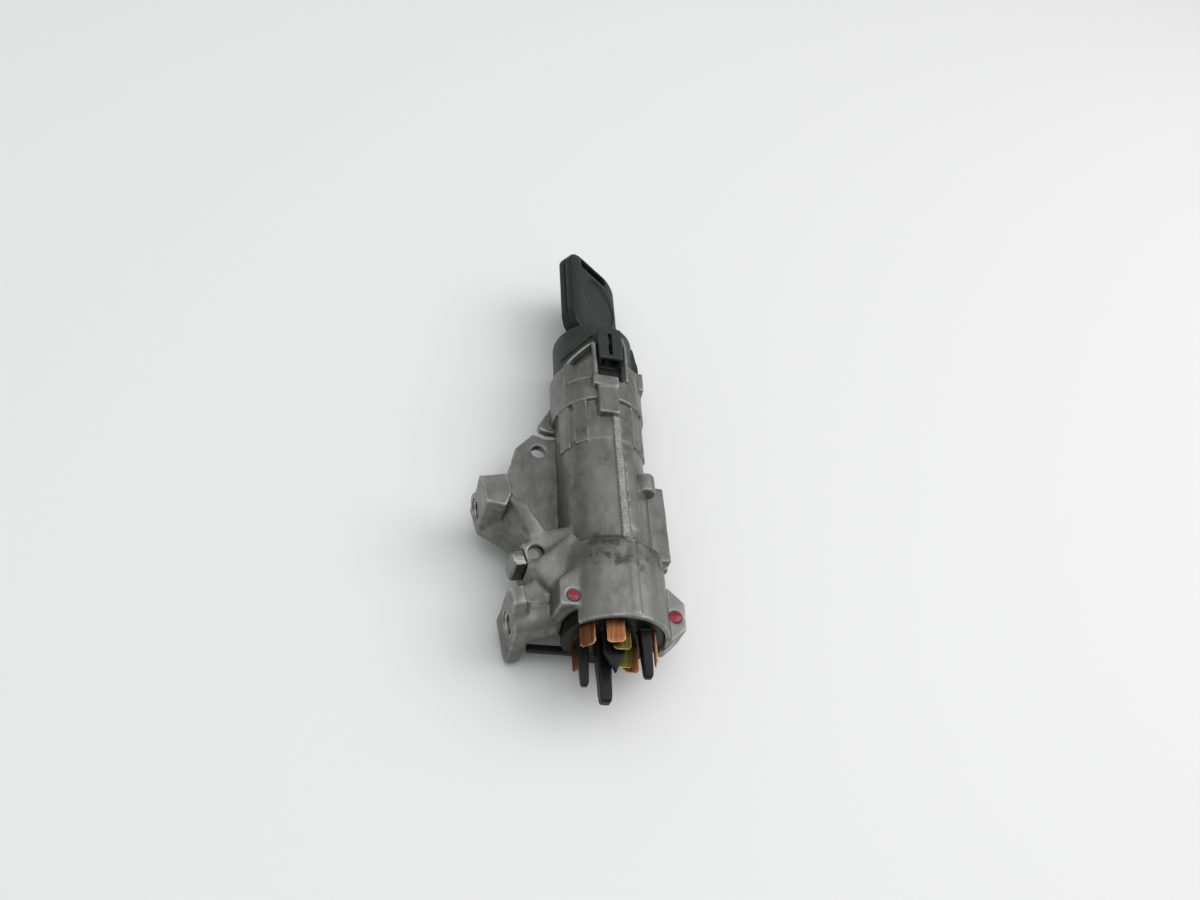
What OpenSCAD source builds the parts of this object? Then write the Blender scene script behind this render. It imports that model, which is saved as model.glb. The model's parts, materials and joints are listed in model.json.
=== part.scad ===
// Ignition switch with steering lock: a die-cast housing, a key cylinder, a lock bolt and a blade switch.
// The barrel lies along Y with the key at +Y, the steering column is at -X, and Z points up.
// The origin is on the barrel axis, in the plane of the collar's rim.

/* [Housing barrel] */
// Outer radius of the collar around the electrical switch
collar_r = 18; // [17.6:0.1:20]
// Length of the collar
collar_len = 27; // [24:1:30]
// Length of the cone between collar and barrel
shoulder_len = 2.5; // [1:0.5:5]
// Outer radius of the lower barrel
barrel_r = 15; // [14.6:0.1:16]
// Length of the lower barrel
lower_len = 42; // [40:1:50]
// Outer radius of the ribbed upper barrel
upper_r = 15.2; // [15:0.1:16.4]
// Length of the ribbed upper barrel
upper_len = 16.5; // [15:0.5:22]
// Height of the ribs on the upper barrel
rib_rise = 0.6; // [0.2:0.1:1]
// Width of the ribs on the upper barrel
rib_w = 5; // [3:0.5:7]
// Outer radius of the front ring
ring_r = 16.7; // [16.3:0.1:18]
// Length of the front ring
ring_len = 19; // [17:0.5:24]
// Angle of the mould parting strip from the top
parting_angle = 9; // [0:1:14]
// Width of the mould parting strip
parting_w = 2.6; // [1:0.2:3]
// Length by which the rim is cut back below and at the left
rim_cut = 5; // [3:0.5:7]

/* [Housing bracket] */
// Tilt of the bolt's travel against the cross direction
bolt_tilt = 14.6; // [8:0.2:18]
// Place along the barrel where the bolt's line crosses it
bolt_y = 32.5; // [31.5:0.5:34]
// Distance of the column mounting plane from the barrel axis
mount_reach = 38.2; // [36:0.2:42]
// Distance between the two column bolt holes
mount_span = 42; // [40:0.5:46]
// Distance of the far column hole from the bolt's line
mount_far = 23.9; // [22:0.1:26]
// Radius of the tapped column holes
mount_hole_r = 3.4; // [3:0.1:3.8]
// Height of the column holes against the barrel axis
mount_z = -2.5; // [-4:0.5:0]
// Depth of the far boss
boss_depth = 9; // [8:0.5:12]
// Radius of the round boss around the far hole
boss_r = 5.6; // [5:0.1:6.5]
// Outer radius of the tube behind the near hole
tube_r = 6.2; // [5.4:0.1:7]
// Depth of the near tapped hole
near_depth = 14; // [10:0.5:15]
// Thickness of the near boss's flange
flange_t = 5.2; // [3:0.2:6]
// Lowest face of the bracket
bracket_low = -8.8; // [-11:0.2:-8]
// Top face of the ear plate
ear_top = -3.5; // [-4.5:0.5:-2]
// Thickness of the ear plate
ear_t = 3; // [2:0.5:4]
// Radius of the hole in the ear plate
ear_hole_r = 2.5; // [2:0.1:3]

/* [Bolt] */
// Thickness of the lock bolt along the barrel
bolt_t = 5.5; // [4:0.1:6]
// Height of the lock bolt
bolt_h = 10; // [8:0.2:11]
// Distance of the resting bolt tip behind the mounting plane
bolt_back = 5; // [4:0.5:8]
// Travel of the lock bolt
bolt_travel = 8.5; // [6:0.5:9]
// Thickness of the slider behind the bolt
slider_t = 3; // [2:0.2:4]
// Clearance on each side of the bolt and its slider
bolt_gap = 0.3; // [0.1:0.05:0.4]
// Mean radius of the bolt spring
bolt_spring_r = 2.1; // [1.6:0.1:2.3]

/* [Lock cylinder] */
// Outer radius of the cylinder sleeve
sleeve_r = 12; // [11.5:0.1:12.4]
// Length of the cylinder sleeve
sleeve_len = 47; // [46:0.5:50]
// Radius of the turning plug
plug_r = 8; // [7.8:0.1:8.6]
// Radius of the plug's front head
head_r = 9.4; // [9:0.1:9.8]
// Length of the plug's front head
head_len = 2.2; // [1.5:0.1:3]
// Radial clearance of the turning fits
turn_gap = 0.05; // [0.02:0.01:0.1]
// Turn of the key's plane in the rest position
key_angle = 36; // [0:1:60]
// Number of wafers
wafers_n = 8; // [4:1:8]
// Thickness of a wafer
wafer_t = 0.9; // [0.6:0.1:1.2]
// Radius of the cam shaft's journal
journal_r = 6; // [5:0.1:6.5]
// Radius of the cam shaft's neck inside the slider
neck_r = 3; // [2.5:0.1:3.2]

/* [Key] */
// Width of the key blade
blade_w = 9; // [8:0.2:9.4]
// Thickness of the key blade
blade_t = 2.4; // [2:0.1:2.8]
// Length of blade inside the plug
blade_in = 43.5; // [38:0.5:44]
// Width of the key head
key_w = 28; // [26:0.5:34]
// Length of the key head
key_len = 44; // [38:0.5:48]
// Thickness of the key head
key_t = 7.2; // [6:0.2:10]

/* [Reader cap] */
// Outer radius of the reader cap
cap_r = 15.1; // [14.9:0.1:15.2]
// Length by which the cap stands out of the housing
cap_rise = 18.8; // [17:0.2:22]
// Length of cap inside the front ring
cap_inset = 6; // [4:0.5:8]
// Thickness of the cap's front wall
cap_wall = 1.7; // [1.2:0.1:2.4]
// Radial clearance between cap and ring
cap_gap = 0.15; // [0.05:0.05:0.2]
// Height of the plug socket's top above the axis
socket_top = 19.5; // [18.8:0.1:20.5]

/* [Electrical switch] */
// Radius of the switch body
switch_r = 16; // [15.5:0.1:16.2]
// Radial clearance around the switch body
switch_gap = 0.2; // [0.1:0.05:0.3]
// Length of the switch body
switch_len = 16.1; // [15.5:0.1:17]
// Width of a blade terminal
tab_w = 5.5; // [4.8:0.1:5.8]
// Thickness of a blade terminal
tab_t = 0.8; // [0.6:0.1:0.9]
// Radius of the switch rotor
rotor_r = 9.8; // [9:0.1:10.4]
// Radius of the detent ball
ball_r = 1.5; // [1.2:0.1:1.6]
// Radius of the switch screws
screw_r = 1.5; // [1.2:0.1:1.6]
// Radius of the switch screws' heads
screw_head_r = 2; // [1.8:0.1:2.2]

/* [Hidden] */
$fn = 64;

// Places along the barrel
y_step = collar_len + lower_len;
y_ring = y_step + upper_len;
y_front = y_ring + ring_len;
y_cap = y_front + cap_rise;
y_head = y_cap - cap_wall - 0.1;
y_sleeve = y_head - head_len - 0.3;
y_seat = y_sleeve - sleeve_len;
y_tail = y_seat - 2;
y_slot = y_ring + 9;
y_skirt = y_front - cap_inset;
y_journal = switch_len + 0.9;
y_neck = y_journal + 7;
y_lobe = bolt_y + 10.5;
y_tip = y_head - blade_in;
key_lift = 2.5;
y_key = y_cap + key_lift;
y_key_end = y_key + key_len;

// Radii of the bores
pocket_r = switch_r + switch_gap;
cavity_r = journal_r + 2;
lobe_r = cavity_r - 1;
tail_r = plug_r + 1.2;
cap_bore_r = sleeve_r + 0.3;
coil_r = cap_bore_r + 1.9;

// Places in the bolt's own frame, where -X is the way the bolt comes out
mount_near = mount_far - mount_span;
bolt_tip = bolt_back - mount_reach;
bolt_root = bolt_tip + 21.2;
window_low = -neck_r - 1.5;
window_high = neck_r + 1 + bolt_travel;
slider_end = window_high + 1.8;
slider_nose = 2.9;
slider_lap = 7;
spring_len = 4.4;
seat_x = slider_end + 0.1 + spring_len + 0.15;
seat_r = bolt_spring_r + 1.35;
window_h = neck_r + 0.6;
tower_mouth = bolt_tip + 6.2;
tower_half = bolt_t / 2 + 5;
tower_top = bolt_h / 2 + 2;
tower_end = bolt_root - 8.5;
snout_mouth = bolt_tip + 3.6;
snout_half = bolt_t / 2 + 1.9;
snout_wall = 1.6;
boss_top = 11.3;
pad_len = 30.5;
pad_half = 5;
boss_side = mount_far - 8.4;
ridge_top = boss_top - 1.2;
notch_r = 2.4;

// Blade terminals as x, z, turn about the barrel axis and tip
copper_tabs = [
    [-10.5, 9.5, -48, -6.2], [-2.9, 13.2, -12, -6.4], [5.5, -1, 10, -9], [-10.2, -4.6, -75, -7.6],
    [11.2, 6.5, 75, -9.5]
];
brass_tabs = [[-0.2, 10, -5, -7], [1.8, 4.3, 0, -10]];
// Guide pegs as x, z, width and tip
pegs = [[-10, 1.2, 3.4, -15.2], [-3.7, 0.6, 4.9, -20], [7.7, 8, 3.8, -14.8]];
// Pointed wedge between the brass blades
wedge_x = -2;
wedge_z = 7.4;
wedge_w = 6.8;
wedge_tip = -13.4;
face_y = 0.5;
floor_y = 5;
contact_y = 6.5;
bridge_y = contact_y + 0.1;
bridge_t = 0.8;
rotor_y = 8;
rotor_t = 4.5;
hub_r = 4.3;
cover_t = 1.6;
switch_end = face_y + switch_len;
cup_r = switch_r - 2.4;
detent_y = rotor_y + rotor_t / 2;
detent_angle = 150;

// Switch screws as x, y and top of the lug
right_screw = [19.7, 8.1, 5];
left_screw = [-15, 8.7, 12.5];
ear_reach = 33;
ear_low = -2;
ear_high = 0;
arm_reach = 25;
arm_low = -11;
sleeve_pin_r = 2;
sleeve_pin_y = y_ring + 4.5;
socket_left = -3.1;
socket_right = 5.6;
socket_y = y_front - 2.5;
socket_depth = 10;
socket_end = socket_y + socket_depth;
socket_wall = 1.2;
socket_floor = sleeve_r + 2;
socket_low = sleeve_r + 1.2;
socket_back = socket_end + 5;
rest_half = 5;
rest_y = y_front + 3;
rest_end = y_cap - 3.3;
latch_x = 0.7;
latch_w = 0.9;
latch_y = socket_y + 1.8;
latch_end = socket_end + 2.6;

// Wafers along the keyway
wafer_pitch = (blade_in - 12) / wafers_n;
wafer_y0 = y_tip + 4;
wafer_x = plug_r - 0.9;
wafer_z = 3.3;
spring_z = wafer_z + 1.1;
spring_x = 3.1;
wafer_spring_len = 6;
slide_fit = 0.05;

// Tongues that carry the turn from the plug to the cam shaft and on to the switch rotor
drive_w = 8;
drive_t = 3;
drive_len = 3.5;
tongue_w = 6.4;
tongue_t = 2.5;
tongue_len = 4;

// Key head and its chip
key_tail = 15;
ring_slot_w = 15;
ring_slot_len = 4.6;
ring_bar = 2;
chip_y = y_key + 20;
chip_r = 1.4;
chip_len = 11;
key_fit = 0.05;

// Reader coil and its pins
pin_xs = [0.3, 2.3];
pin_z = sleeve_r + 4;
pin_r = 0.4;
pin_y = socket_y + 2;
pin_len = socket_depth - 1;
coil_y0 = y_cap - 11.3;
coil_y1 = y_cap - 4.3;

// Moving contacts and spindle of the switch
bridge_x = 6.5;
bridge_w = 3.6;
bridge_len = 8;
well_r = 1.5;
well_depth = 2.6;
spindle_r = 2.5;
spindle_y = 3.2;
tab_fit = 0.02;
screw_head_t = 1.3;
screw_sink = 1.5;
right_screw_low = -4.6;
left_screw_low = 5;

module along_y(y = 0) {
    translate([0, y, 0])
        rotate([-90, 0, 0])
            children();
}

module along_x(x, y, z) {
    translate([x, y, z])
        rotate([0, 90, 0])
            children();
}

module around(angle) {
    rotate([0, angle, 0])
        children();
}

module bolt_frame() {
    translate([0, bolt_y, 0])
        rotate([0, 0, bolt_tilt])
            children();
}

module disc_y(r, y0, y1) {
    along_y(y0)
        cylinder(r = r, h = y1 - y0);
}

module ring_y(r_out, r_in, y0, y1) {
    difference() {
        disc_y(r_out, y0, y1);
        disc_y(r_in, y0 - 1, y1 + 1);
    }
}

module block(x0, x1, y0, y1, z0, z1) {
    translate([x0, y0, z0])
        cube([x1 - x0, y1 - y0, z1 - z0]);
}

// Prism over an outline in X and Y
module plan(z0, z1, outline) {
    translate([0, 0, z0])
        linear_extrude(z1 - z0)
            polygon(outline);
}

// Prism over an outline in Y and Z
module side_profile(x0, x1, outline) {
    translate([x0, 0, 0])
        rotate([90, 0, 90])
            linear_extrude(x1 - x0)
                polygon(outline);
}

// Prism over an outline in X and Z
module end_profile(y0, y1, outline) {
    translate([0, y1, 0])
        rotate([90, 0, 0])
            linear_extrude(y1 - y0)
                polygon(outline);
}

// Round wire wound along Z, from z = 0 to z = length
module coil(mean_r, wire_r, turns, length, per_turn = 12, sides = 6) {
    steps = turns * per_turn;
    rise = (length - 2 * wire_r) / steps;
    points = [
        for (i = [0 : steps], j = [0 : sides - 1])
            let (r = mean_r + wire_r * cos(360 * j / sides), a = 360 * i / per_turn)
                [r * cos(a), r * sin(a), wire_r + rise * i + wire_r * sin(360 * j / sides)]
    ];
    skin = [
        for (i = [0 : steps - 1], j = [0 : sides - 1], half = [0, 1])
            let (a = i * sides + j, b = i * sides + (j + 1) % sides)
                half == 0 ? [a, b, b + sides] : [a, b + sides, a + sides]
    ];
    start_cap = [[for (j = [sides - 1 : -1 : 0]) j]];
    end_cap = [[for (j = [0 : sides - 1]) steps * sides + j]];
    polyhedron(points, concat(skin, start_cap, end_cap));
}

module collar_shell() {
    difference() {
        union() {
            disc_y(collar_r, 0, collar_len);
            along_y(collar_len)
                cylinder(r1 = collar_r, r2 = barrel_r, h = shoulder_len);
        }
        rim_reach = 2 * collar_r;
        along_y(-1)
            linear_extrude(rim_cut + 1)
                polygon(concat([[0, 0]], [for (a = [98 : 42.2 : 310]) rim_reach * [sin(a), -cos(a)]]));
    }
    around(parting_angle)
        block(-parting_w / 2, parting_w / 2, 1, collar_len, 0, collar_r + 0.35);
}

module barrel_shell() {
    disc_y(barrel_r, collar_len - 1, y_step);
    disc_y(upper_r, y_step, y_ring + 1);
    disc_y(ring_r, y_ring, y_front);
    for (a = [-66, -38, 42, 68])
        around(a)
            block(-rib_w / 2, rib_w / 2, y_step - 1, y_ring + 1, 0, upper_r + rib_rise);
    around(parting_angle)
        block(-parting_w / 2, parting_w / 2, collar_len - 1, y_ring - 7, 0, barrel_r + 0.8);
    block(-4, 3.3, y_ring - 7.5, y_ring + 5, 0, ring_r + 1.2);
    block(-5.7, 3.5, y_ring + 4.5, y_slot, 0, ring_r + 1.7);
    block(0, collar_r + 2.5, collar_len + 1, collar_len + pad_len, -pad_half, pad_half);
    around(50)
        translate([0, collar_len + 23, barrel_r + 1])
            along_y()
                cylinder(r = 3.2, h = 7);
    around(75)
        translate([0, collar_len - 2, collar_r])
            sphere(r = 1.6);
    side_profile(0, ring_r - 0.3, [
        [y_front - 7.5, 3], [y_front - 5.5, 8.5], [y_front + 2.5, 8.5], [y_front + 2.5, 3]
    ]);
}

module front_ears() {
    ear_in = cap_r + cap_gap + 0.1;
    intersection() {
        ring_y(ring_r + 0.7, ear_in, y_slot, y_front + 8);
        around(-31)
            plan(5, 25, [
                [5.7, y_slot], [5.7, y_front + 7.5], [4.4, y_front + 7.5], [-7.5, y_front - 0.6],
                [-7.5, y_slot]
            ]);
    }
    around(-12.5)
        side_profile(-1.4, 0, [
            [y_slot, ear_in], [y_slot, ring_r + 1.9], [y_front + 5.5, ring_r + 1.9],
            [y_front + 7.5, ring_r + 0.3], [y_front + 7.5, ear_in]
        ]);
    around(22.5)
        side_profile(0, 1.4, [
            [y_slot, ear_in], [y_slot, ring_r + 1.5], [y_front + 6, ring_r + 1.9],
            [y_front + 12.5, ring_r + 0.5], [y_front + 12.5, ear_in]
        ]);
}

module ear_plate() {
    plan(ear_top - ear_t, ear_top, [
        [0, y_step + 11], [-15.9, y_step + 11.3], [-19.5, y_step + 11], [-20.5, y_step + 12],
        [-23.2, y_step + 12.7], [7 - ear_reach, y_step + 9.5], [3.7 - ear_reach, y_step + 5.4],
        [3.1 - ear_reach, y_step + 3.3], [0.5 - ear_reach, y_step - 7.3], [-ear_reach, bolt_y + 21],
        [7 - ear_reach, bolt_y + 10], [0, bolt_y + 8]
    ]);
    plan(ear_top - ear_t, ear_top, [
        [0, y_ring + 9.5], [-16.6, y_ring + 8.9], [-21, y_ring + 0.7], [-20.5, y_ring - 1],
        [-17.8, y_ring - 2.1], [0, y_ring - 2.1]
    ]);
}

module column_bosses() {
    bolt_frame() {
        plan(bracket_low, boss_top, [
            [-mount_reach, mount_far - 6], [5.8 - mount_reach, boss_side],
            [7.4 - mount_reach, boss_side + 2.1],
            [boss_depth - mount_reach, mount_far - 3.8], [boss_depth - mount_reach, mount_far + 3.9],
            [-mount_reach, mount_far + 3.9]
        ]);
        along_x(-mount_reach, mount_far, mount_z)
            cylinder(r = boss_r, h = boss_depth);
        translate([0, mount_near, mount_z])
            side_profile(-mount_reach, flange_t - mount_reach, [
                [1, 10.5], [7, 10.5], [6.4, -11], [-5.5, -15], [-7.6, -13], [-6.5, -3]
            ]);
        along_x(-mount_reach, mount_near, mount_z)
            cylinder(r = tube_r, h = mount_reach - 16);
    }
}

module bolt_tower() {
    wall_x = boss_depth - mount_reach - 0.5;
    bolt_frame() {
        end_profile(-tower_half, tower_half, [
            [tower_mouth, bracket_low], [tower_mouth, tower_top - 0.6], [tower_end, tower_top + 0.4],
            [bolt_root, tower_top + 0.4], [0, tower_top + 0.4], [0, bracket_low]
        ]);
        block(snout_mouth, tower_mouth + 1, -snout_half, snout_half, bracket_low, tower_top - 0.8);
        hull() {
            plan(bracket_low, bracket_low + 1, [
                [-mount_reach, mount_far - 6], [tower_mouth - 2, tower_half + 1.6],
                [tower_end + 1, tower_half], [tower_end - 4.5, 19], [wall_x, mount_far + 2],
                [-mount_reach, mount_far + 2]
            ]);
            plan(tower_top - 1, tower_top + 0.3, [
                [tower_mouth - 0.5, tower_half + 3], [tower_mouth + 1, tower_half - 1],
                [tower_end, tower_half - 1], [tower_end - 0.5, tower_half + 1.7], [tower_end - 4.5, 18]
            ]);
            plan(ridge_top - 1, ridge_top, [
                [wall_x - 0.5, mount_far - 5.2], [wall_x + 3.3, boss_side - 0.8],
                [wall_x + 4.3, boss_side + 0.9],
                [wall_x + 0.2, mount_far - 3]
            ]);
        }
        plan(bracket_low, ear_top, [
            [wall_x, mount_far + 3.5], [wall_x - 8, mount_far - 5], [tower_mouth, 6], [-2, 6], [-2, 24]
        ]);
        plan(bracket_low + 2, 4, [
            [1 - mount_reach, mount_near + 5], [tower_mouth, -6], [-8, -6], [-8, mount_near + 2],
            [-30, mount_near + 2]
        ]);
    }
    translate([-28.5, bolt_y - 16, 0])
        rotate([0, 0, 39])
            end_profile(-7, 3, [[4, -6], [4, 6.6], [21, 11.5], [21, -6]]);
}

module screw_lugs() {
    x = right_screw[0];
    y = right_screw[1];
    plan(-6, right_screw[2], [
        [0, y + 9.8], [x - 1.2, y + 9.8], [x + 3.6, y + 4.8], [x + 3.2, y - 4.3], [x - 2.1, y - 9],
        [0, y - 9]
    ]);
    u = left_screw[0];
    v = left_screw[1];
    end_profile(v - 3.5, v + 6.1, [
        [u - 4.2, left_screw[2]], [u - 6, -5], [0, -5], [u + 5, left_screw[2]]
    ]);
    plan(0, left_screw[2], [[u - 4.2, v + 5.9], [u + 4.5, v + 5.9], [u + 4.5, v + 12.8]]);
}

module barrel_bores() {
    disc_y(pocket_r, -12, y_journal);
    disc_y(journal_r + turn_gap, y_journal - 1, y_neck + 1);
    disc_y(cavity_r, y_neck, y_tail - 1.9);
    disc_y(tail_r + 0.4, y_tail - 2, y_seat + 0.1);
    disc_y(sleeve_r + turn_gap, y_seat, y_front + 30);
    disc_y(cap_r + cap_gap, y_skirt, y_front + 30);
    block(socket_left - 0.2, socket_right + 0.25, y_slot, y_front + 30, sleeve_r + 1, 30);
    translate([0, sleeve_pin_y, -ring_r - 3])
        cylinder(r = sleeve_pin_r + turn_gap, h = ring_r + 3 - sleeve_r + 1);
}

module bolt_bores() {
    slot_z = bolt_h / 2 + bolt_gap;
    slot_y = bolt_t / 2 + bolt_gap;
    slider_y = slider_t / 2 + bolt_gap;
    nose_z = slider_nose + bolt_gap;
    bolt_frame() {
        block(-2 * mount_reach, bolt_root + slider_lap, -slot_y, slot_y, -slot_z, slot_z);
        translate([snout_mouth + snout_wall + notch_r, 0.4, 3])
            cylinder(r = notch_r, h = boss_top);
        end_profile(-slider_y, slider_y, [
            [bolt_root + slider_lap - 1, -slot_z], [slider_end - 1.4, -slot_z], [slider_end + 0.4, -nose_z],
            [slider_end + 0.4, nose_z], [slider_end - 1.4, slot_z], [bolt_root + slider_lap - 1, slot_z]
        ]);
        along_x(slider_end - 3, 0, 0)
            cylinder(r = bolt_spring_r + 0.7, h = 20);
        along_x(seat_x - 0.05, 0, 0)
            cylinder(r = seat_r + turn_gap, h = 20);
        along_x(-mount_reach - 5, mount_far, mount_z)
            cylinder(r = mount_hole_r, h = boss_depth + 9);
        along_x(-mount_reach - 5, mount_near, mount_z)
            cylinder(r = mount_hole_r, h = near_depth + 5);
    }
    translate([-21.1, y_step + 5.2, ear_top - ear_t - 1])
        cylinder(r = ear_hole_r, h = ear_t + 2);
}

module screw_bores() {
    translate([right_screw[0], right_screw[1], -5])
        cylinder(r = screw_r + turn_gap, h = 12);
    translate([right_screw[0], right_screw[1], right_screw[2] - screw_sink - tab_fit])
        cylinder(r = screw_head_r + 0.1, h = 3);
    block(12, right_screw[0] + 2.5, -6, right_screw[1] + 4.1, ear_low - 0.3, ear_high + 0.3);
    translate([left_screw[0], left_screw[1], 3])
        cylinder(r = screw_r + turn_gap, h = 12);
    translate([left_screw[0], left_screw[1], left_screw[2] - screw_sink - tab_fit])
        cylinder(r = screw_head_r + 0.1, h = 3);
}

module housing() {
    color([0.53, 0.53, 0.51])
        difference() {
            union() {
                collar_shell();
                barrel_shell();
                front_ears();
                ear_plate();
                column_bosses();
                bolt_tower();
                screw_lugs();
            }
            barrel_bores();
            bolt_bores();
            screw_bores();
        }
}

module lock_bolt() {
    nose = 0.8;
    color([0.72, 0.72, 0.7])
        bolt_frame()
            plan(-bolt_h / 2, bolt_h / 2, [
                [bolt_tip, nose - bolt_t / 2], [bolt_tip + nose, -bolt_t / 2], [bolt_root, -bolt_t / 2],
                [bolt_root, bolt_t / 2], [bolt_tip + nose, bolt_t / 2], [bolt_tip, bolt_t / 2 - nose]
            ]);
}

module bolt_slider() {
    half = bolt_h / 2;
    color([0.6, 0.6, 0.6])
        bolt_frame()
            difference() {
                end_profile(-slider_t / 2, slider_t / 2, [
                    [bolt_root, -half], [slider_end - 1.8, -half], [slider_end, -slider_nose],
                    [slider_end, slider_nose], [slider_end - 1.8, half], [bolt_root, half]
                ]);
                block(window_low, window_high, -slider_t, slider_t, -window_h, window_h);
            }
}

module bolt_spring() {
    color([0.75, 0.75, 0.75])
        bolt_frame()
            along_x(slider_end + 0.1, 0, 0)
                coil(bolt_spring_r, 0.35, 4, spring_len);
}

module spring_seat() {
    color([0.55, 0.55, 0.53])
        bolt_frame()
            along_x(seat_x, 0, 0)
                cylinder(r = seat_r, h = 1.2);
}

module cylinder_sleeve() {
    color([0.7, 0.66, 0.5])
        difference() {
            ring_y(sleeve_r, plug_r + turn_gap, y_seat, y_sleeve);
            translate([0, sleeve_pin_y, -sleeve_r - 1])
                cylinder(r = sleeve_pin_r + turn_gap, h = 3.6);
        }
}

module sleeve_pin() {
    color([0.7, 0.7, 0.7])
        translate([0, sleeve_pin_y, -ring_r + 0.3])
            cylinder(r = sleeve_pin_r, h = ring_r - 0.4 - sleeve_r + 2.5);
}

// Flat bar through the barrel axis, grown by a fit on its four sides
module drive_bar(w, t, y0, y1, fit) {
    block(-w / 2 - fit, w / 2 + fit, y0, y1, -t / 2 - fit, t / 2 + fit);
}

module cylinder_plug() {
    keyway_x = blade_w / 2 + 0.1;
    keyway_z = blade_t / 2 + 0.1;
    color([0.78, 0.7, 0.45])
        difference() {
            union() {
                disc_y(plug_r, y_tail, y_sleeve + 0.4);
                disc_y(head_r, y_sleeve + 0.3, y_head);
            }
            around(key_angle) {
                block(-keyway_x, keyway_x, y_tip - 1.5, y_cap, -keyway_z, keyway_z);
                for (i = [0 : wafers_n - 1])
                    translate([0, wafer_y0 + i * wafer_pitch, 0]) {
                        block(
                            -2 * plug_r, 2 * plug_r, -slide_fit, wafer_t + slide_fit,
                            -wafer_z - slide_fit, wafer_z + slide_fit
                        );
                        along_x(-spring_x - 0.1, wafer_t / 2, spring_z)
                            cylinder(r = 0.8, h = 2 * plug_r, $fn = 24);
                    }
                drive_bar(drive_w, drive_t, y_tail - 1, y_tail + drive_len + slide_fit, slide_fit);
            }
            ring_y(plug_r + 1, plug_r - 1, y_seat - 1.4, y_seat - 0.3);
        }
}

module wafers() {
    window_x = blade_w / 2 + 0.2;
    window_z = blade_t / 2 + 0.2;
    color([0.8, 0.72, 0.4])
        around(key_angle)
            for (i = [0 : wafers_n - 1])
                translate([0, wafer_y0 + i * wafer_pitch, 0])
                    difference() {
                        block(-wafer_x, wafer_x, 0, wafer_t, -wafer_z, wafer_z);
                        block(-window_x, window_x, -1, 2, -window_z, window_z);
                    }
}

module wafer_springs() {
    color([0.75, 0.75, 0.75])
        around(key_angle)
            for (i = [0 : wafers_n - 1])
                translate([0, wafer_y0 + i * wafer_pitch, 0])
                    along_x(-spring_x, wafer_t / 2, spring_z)
                        coil(0.5, 0.15, 5, wafer_spring_len, 8, 4);
}

module plug_circlip() {
    color([0.5, 0.5, 0.5])
        difference() {
            ring_y(tail_r, plug_r - 0.95, y_seat - 1.35, y_seat - 0.35);
            block(-2, 2, y_tail - 3, y_seat + 1, 0, 20);
        }
}

module cam_shaft() {
    shaft_r = neck_r + 1.6;
    color([0.62, 0.62, 0.6]) {
        disc_y(journal_r, y_journal + 0.3, y_neck + 0.3);
        disc_y(neck_r, y_neck, y_lobe + 0.5);
        disc_y(shaft_r, y_lobe, y_tail - 1);
        block(-2.5, 2.5, y_lobe, y_lobe + 6, 0, lobe_r);
        around(key_angle) {
            drive_bar(drive_w, drive_t, y_tail - 2, y_tail + drive_len, 0);
            drive_bar(tongue_w, tongue_t, y_journal - tongue_len, y_journal + 0.5, 0);
        }
    }
}

module key_blade() {
    color([0.75, 0.75, 0.74])
        around(key_angle)
            difference() {
                plan(-blade_t / 2, blade_t / 2, [
                    [-blade_w / 2, y_key + key_tail], [-blade_w / 2, y_tip + 4], [-1.5, y_tip], [1.5, y_tip],
                    [blade_w / 2, y_tip + 4], [blade_w / 2, y_key + key_tail]
                ]);
                for (z = [-blade_t / 2, blade_t / 2])
                    block(-1.2, 1.2, y_tip - 1, y_key - 2, z - 0.5, z + 0.5);
            }
}

// Outline of one half of the key head as a slab from z0 to z1
module key_slab(z0, z1) {
    corner_r = 7;
    half = key_w / 2;
    plan(z0, z1, [
        [-half + 6, y_key], [half - 6, y_key], [half - 1.5, y_key + 3.5], [half, y_key + 9],
        [half, y_key_end - corner_r], [-half, y_key_end - corner_r], [-half, y_key + 9],
        [-half + 1.5, y_key + 3.5]
    ]);
    block(corner_r - half, half - corner_r, y_key + 9, y_key_end, z0, z1);
    for (side = [-1, 1])
        translate([side * (half - corner_r), y_key_end - corner_r, z0])
            cylinder(r = corner_r, h = z1 - z0);
}

module key_cuts() {
    drive_bar(blade_w, blade_t, y_key - 1, y_key + key_tail + key_fit, key_fit);
    along_x(-chip_len / 2 - key_fit, chip_y, 0)
        cylinder(r = chip_r + key_fit, h = chip_len + 2 * key_fit);
    block(
        -ring_slot_w / 2, ring_slot_w / 2, y_key_end - ring_bar - ring_slot_len, y_key_end - ring_bar,
        -key_t, key_t
    );
}

module key_head_front() {
    color([0.22, 0.23, 0.23])
        around(key_angle)
            difference() {
                key_slab(0, key_t / 2);
                key_cuts();
            }
}

module key_head_back() {
    color([0.18, 0.19, 0.19])
        around(key_angle)
            difference() {
                key_slab(-key_t / 2, 0);
                key_cuts();
            }
}

module transponder() {
    color([0.1, 0.1, 0.1])
        around(key_angle)
            along_x(-chip_len / 2, chip_y, 0)
                cylinder(r = chip_r, h = chip_len);
}

module reader_cap() {
    color([0.22, 0.23, 0.23])
        difference() {
            union() {
                disc_y(cap_r, y_skirt + 0.1, y_cap);
                around(80)
                    side_profile(-rest_half, rest_half, [
                        [rest_y, cap_r / 3], [rest_y, cap_r + 1.2], [rest_y + 3, cap_r + 1.2],
                        [rest_end, cap_r - 0.1], [rest_end, cap_r / 3]
                    ]);
                block(socket_left, socket_right, socket_end - 1, socket_back, 0, socket_top);
            }
            disc_y(cap_bore_r, y_skirt - 1, y_cap - cap_wall);
            disc_y(head_r + 0.6, y_cap - cap_wall - 1, y_cap + 1);
            disc_y(coil_r, coil_y0, coil_y1);
            block(socket_left, socket_right, y_skirt - 1, socket_end, socket_low, 2 * socket_top);
            latch_slot();
            pin_bores();
        }
}

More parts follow.
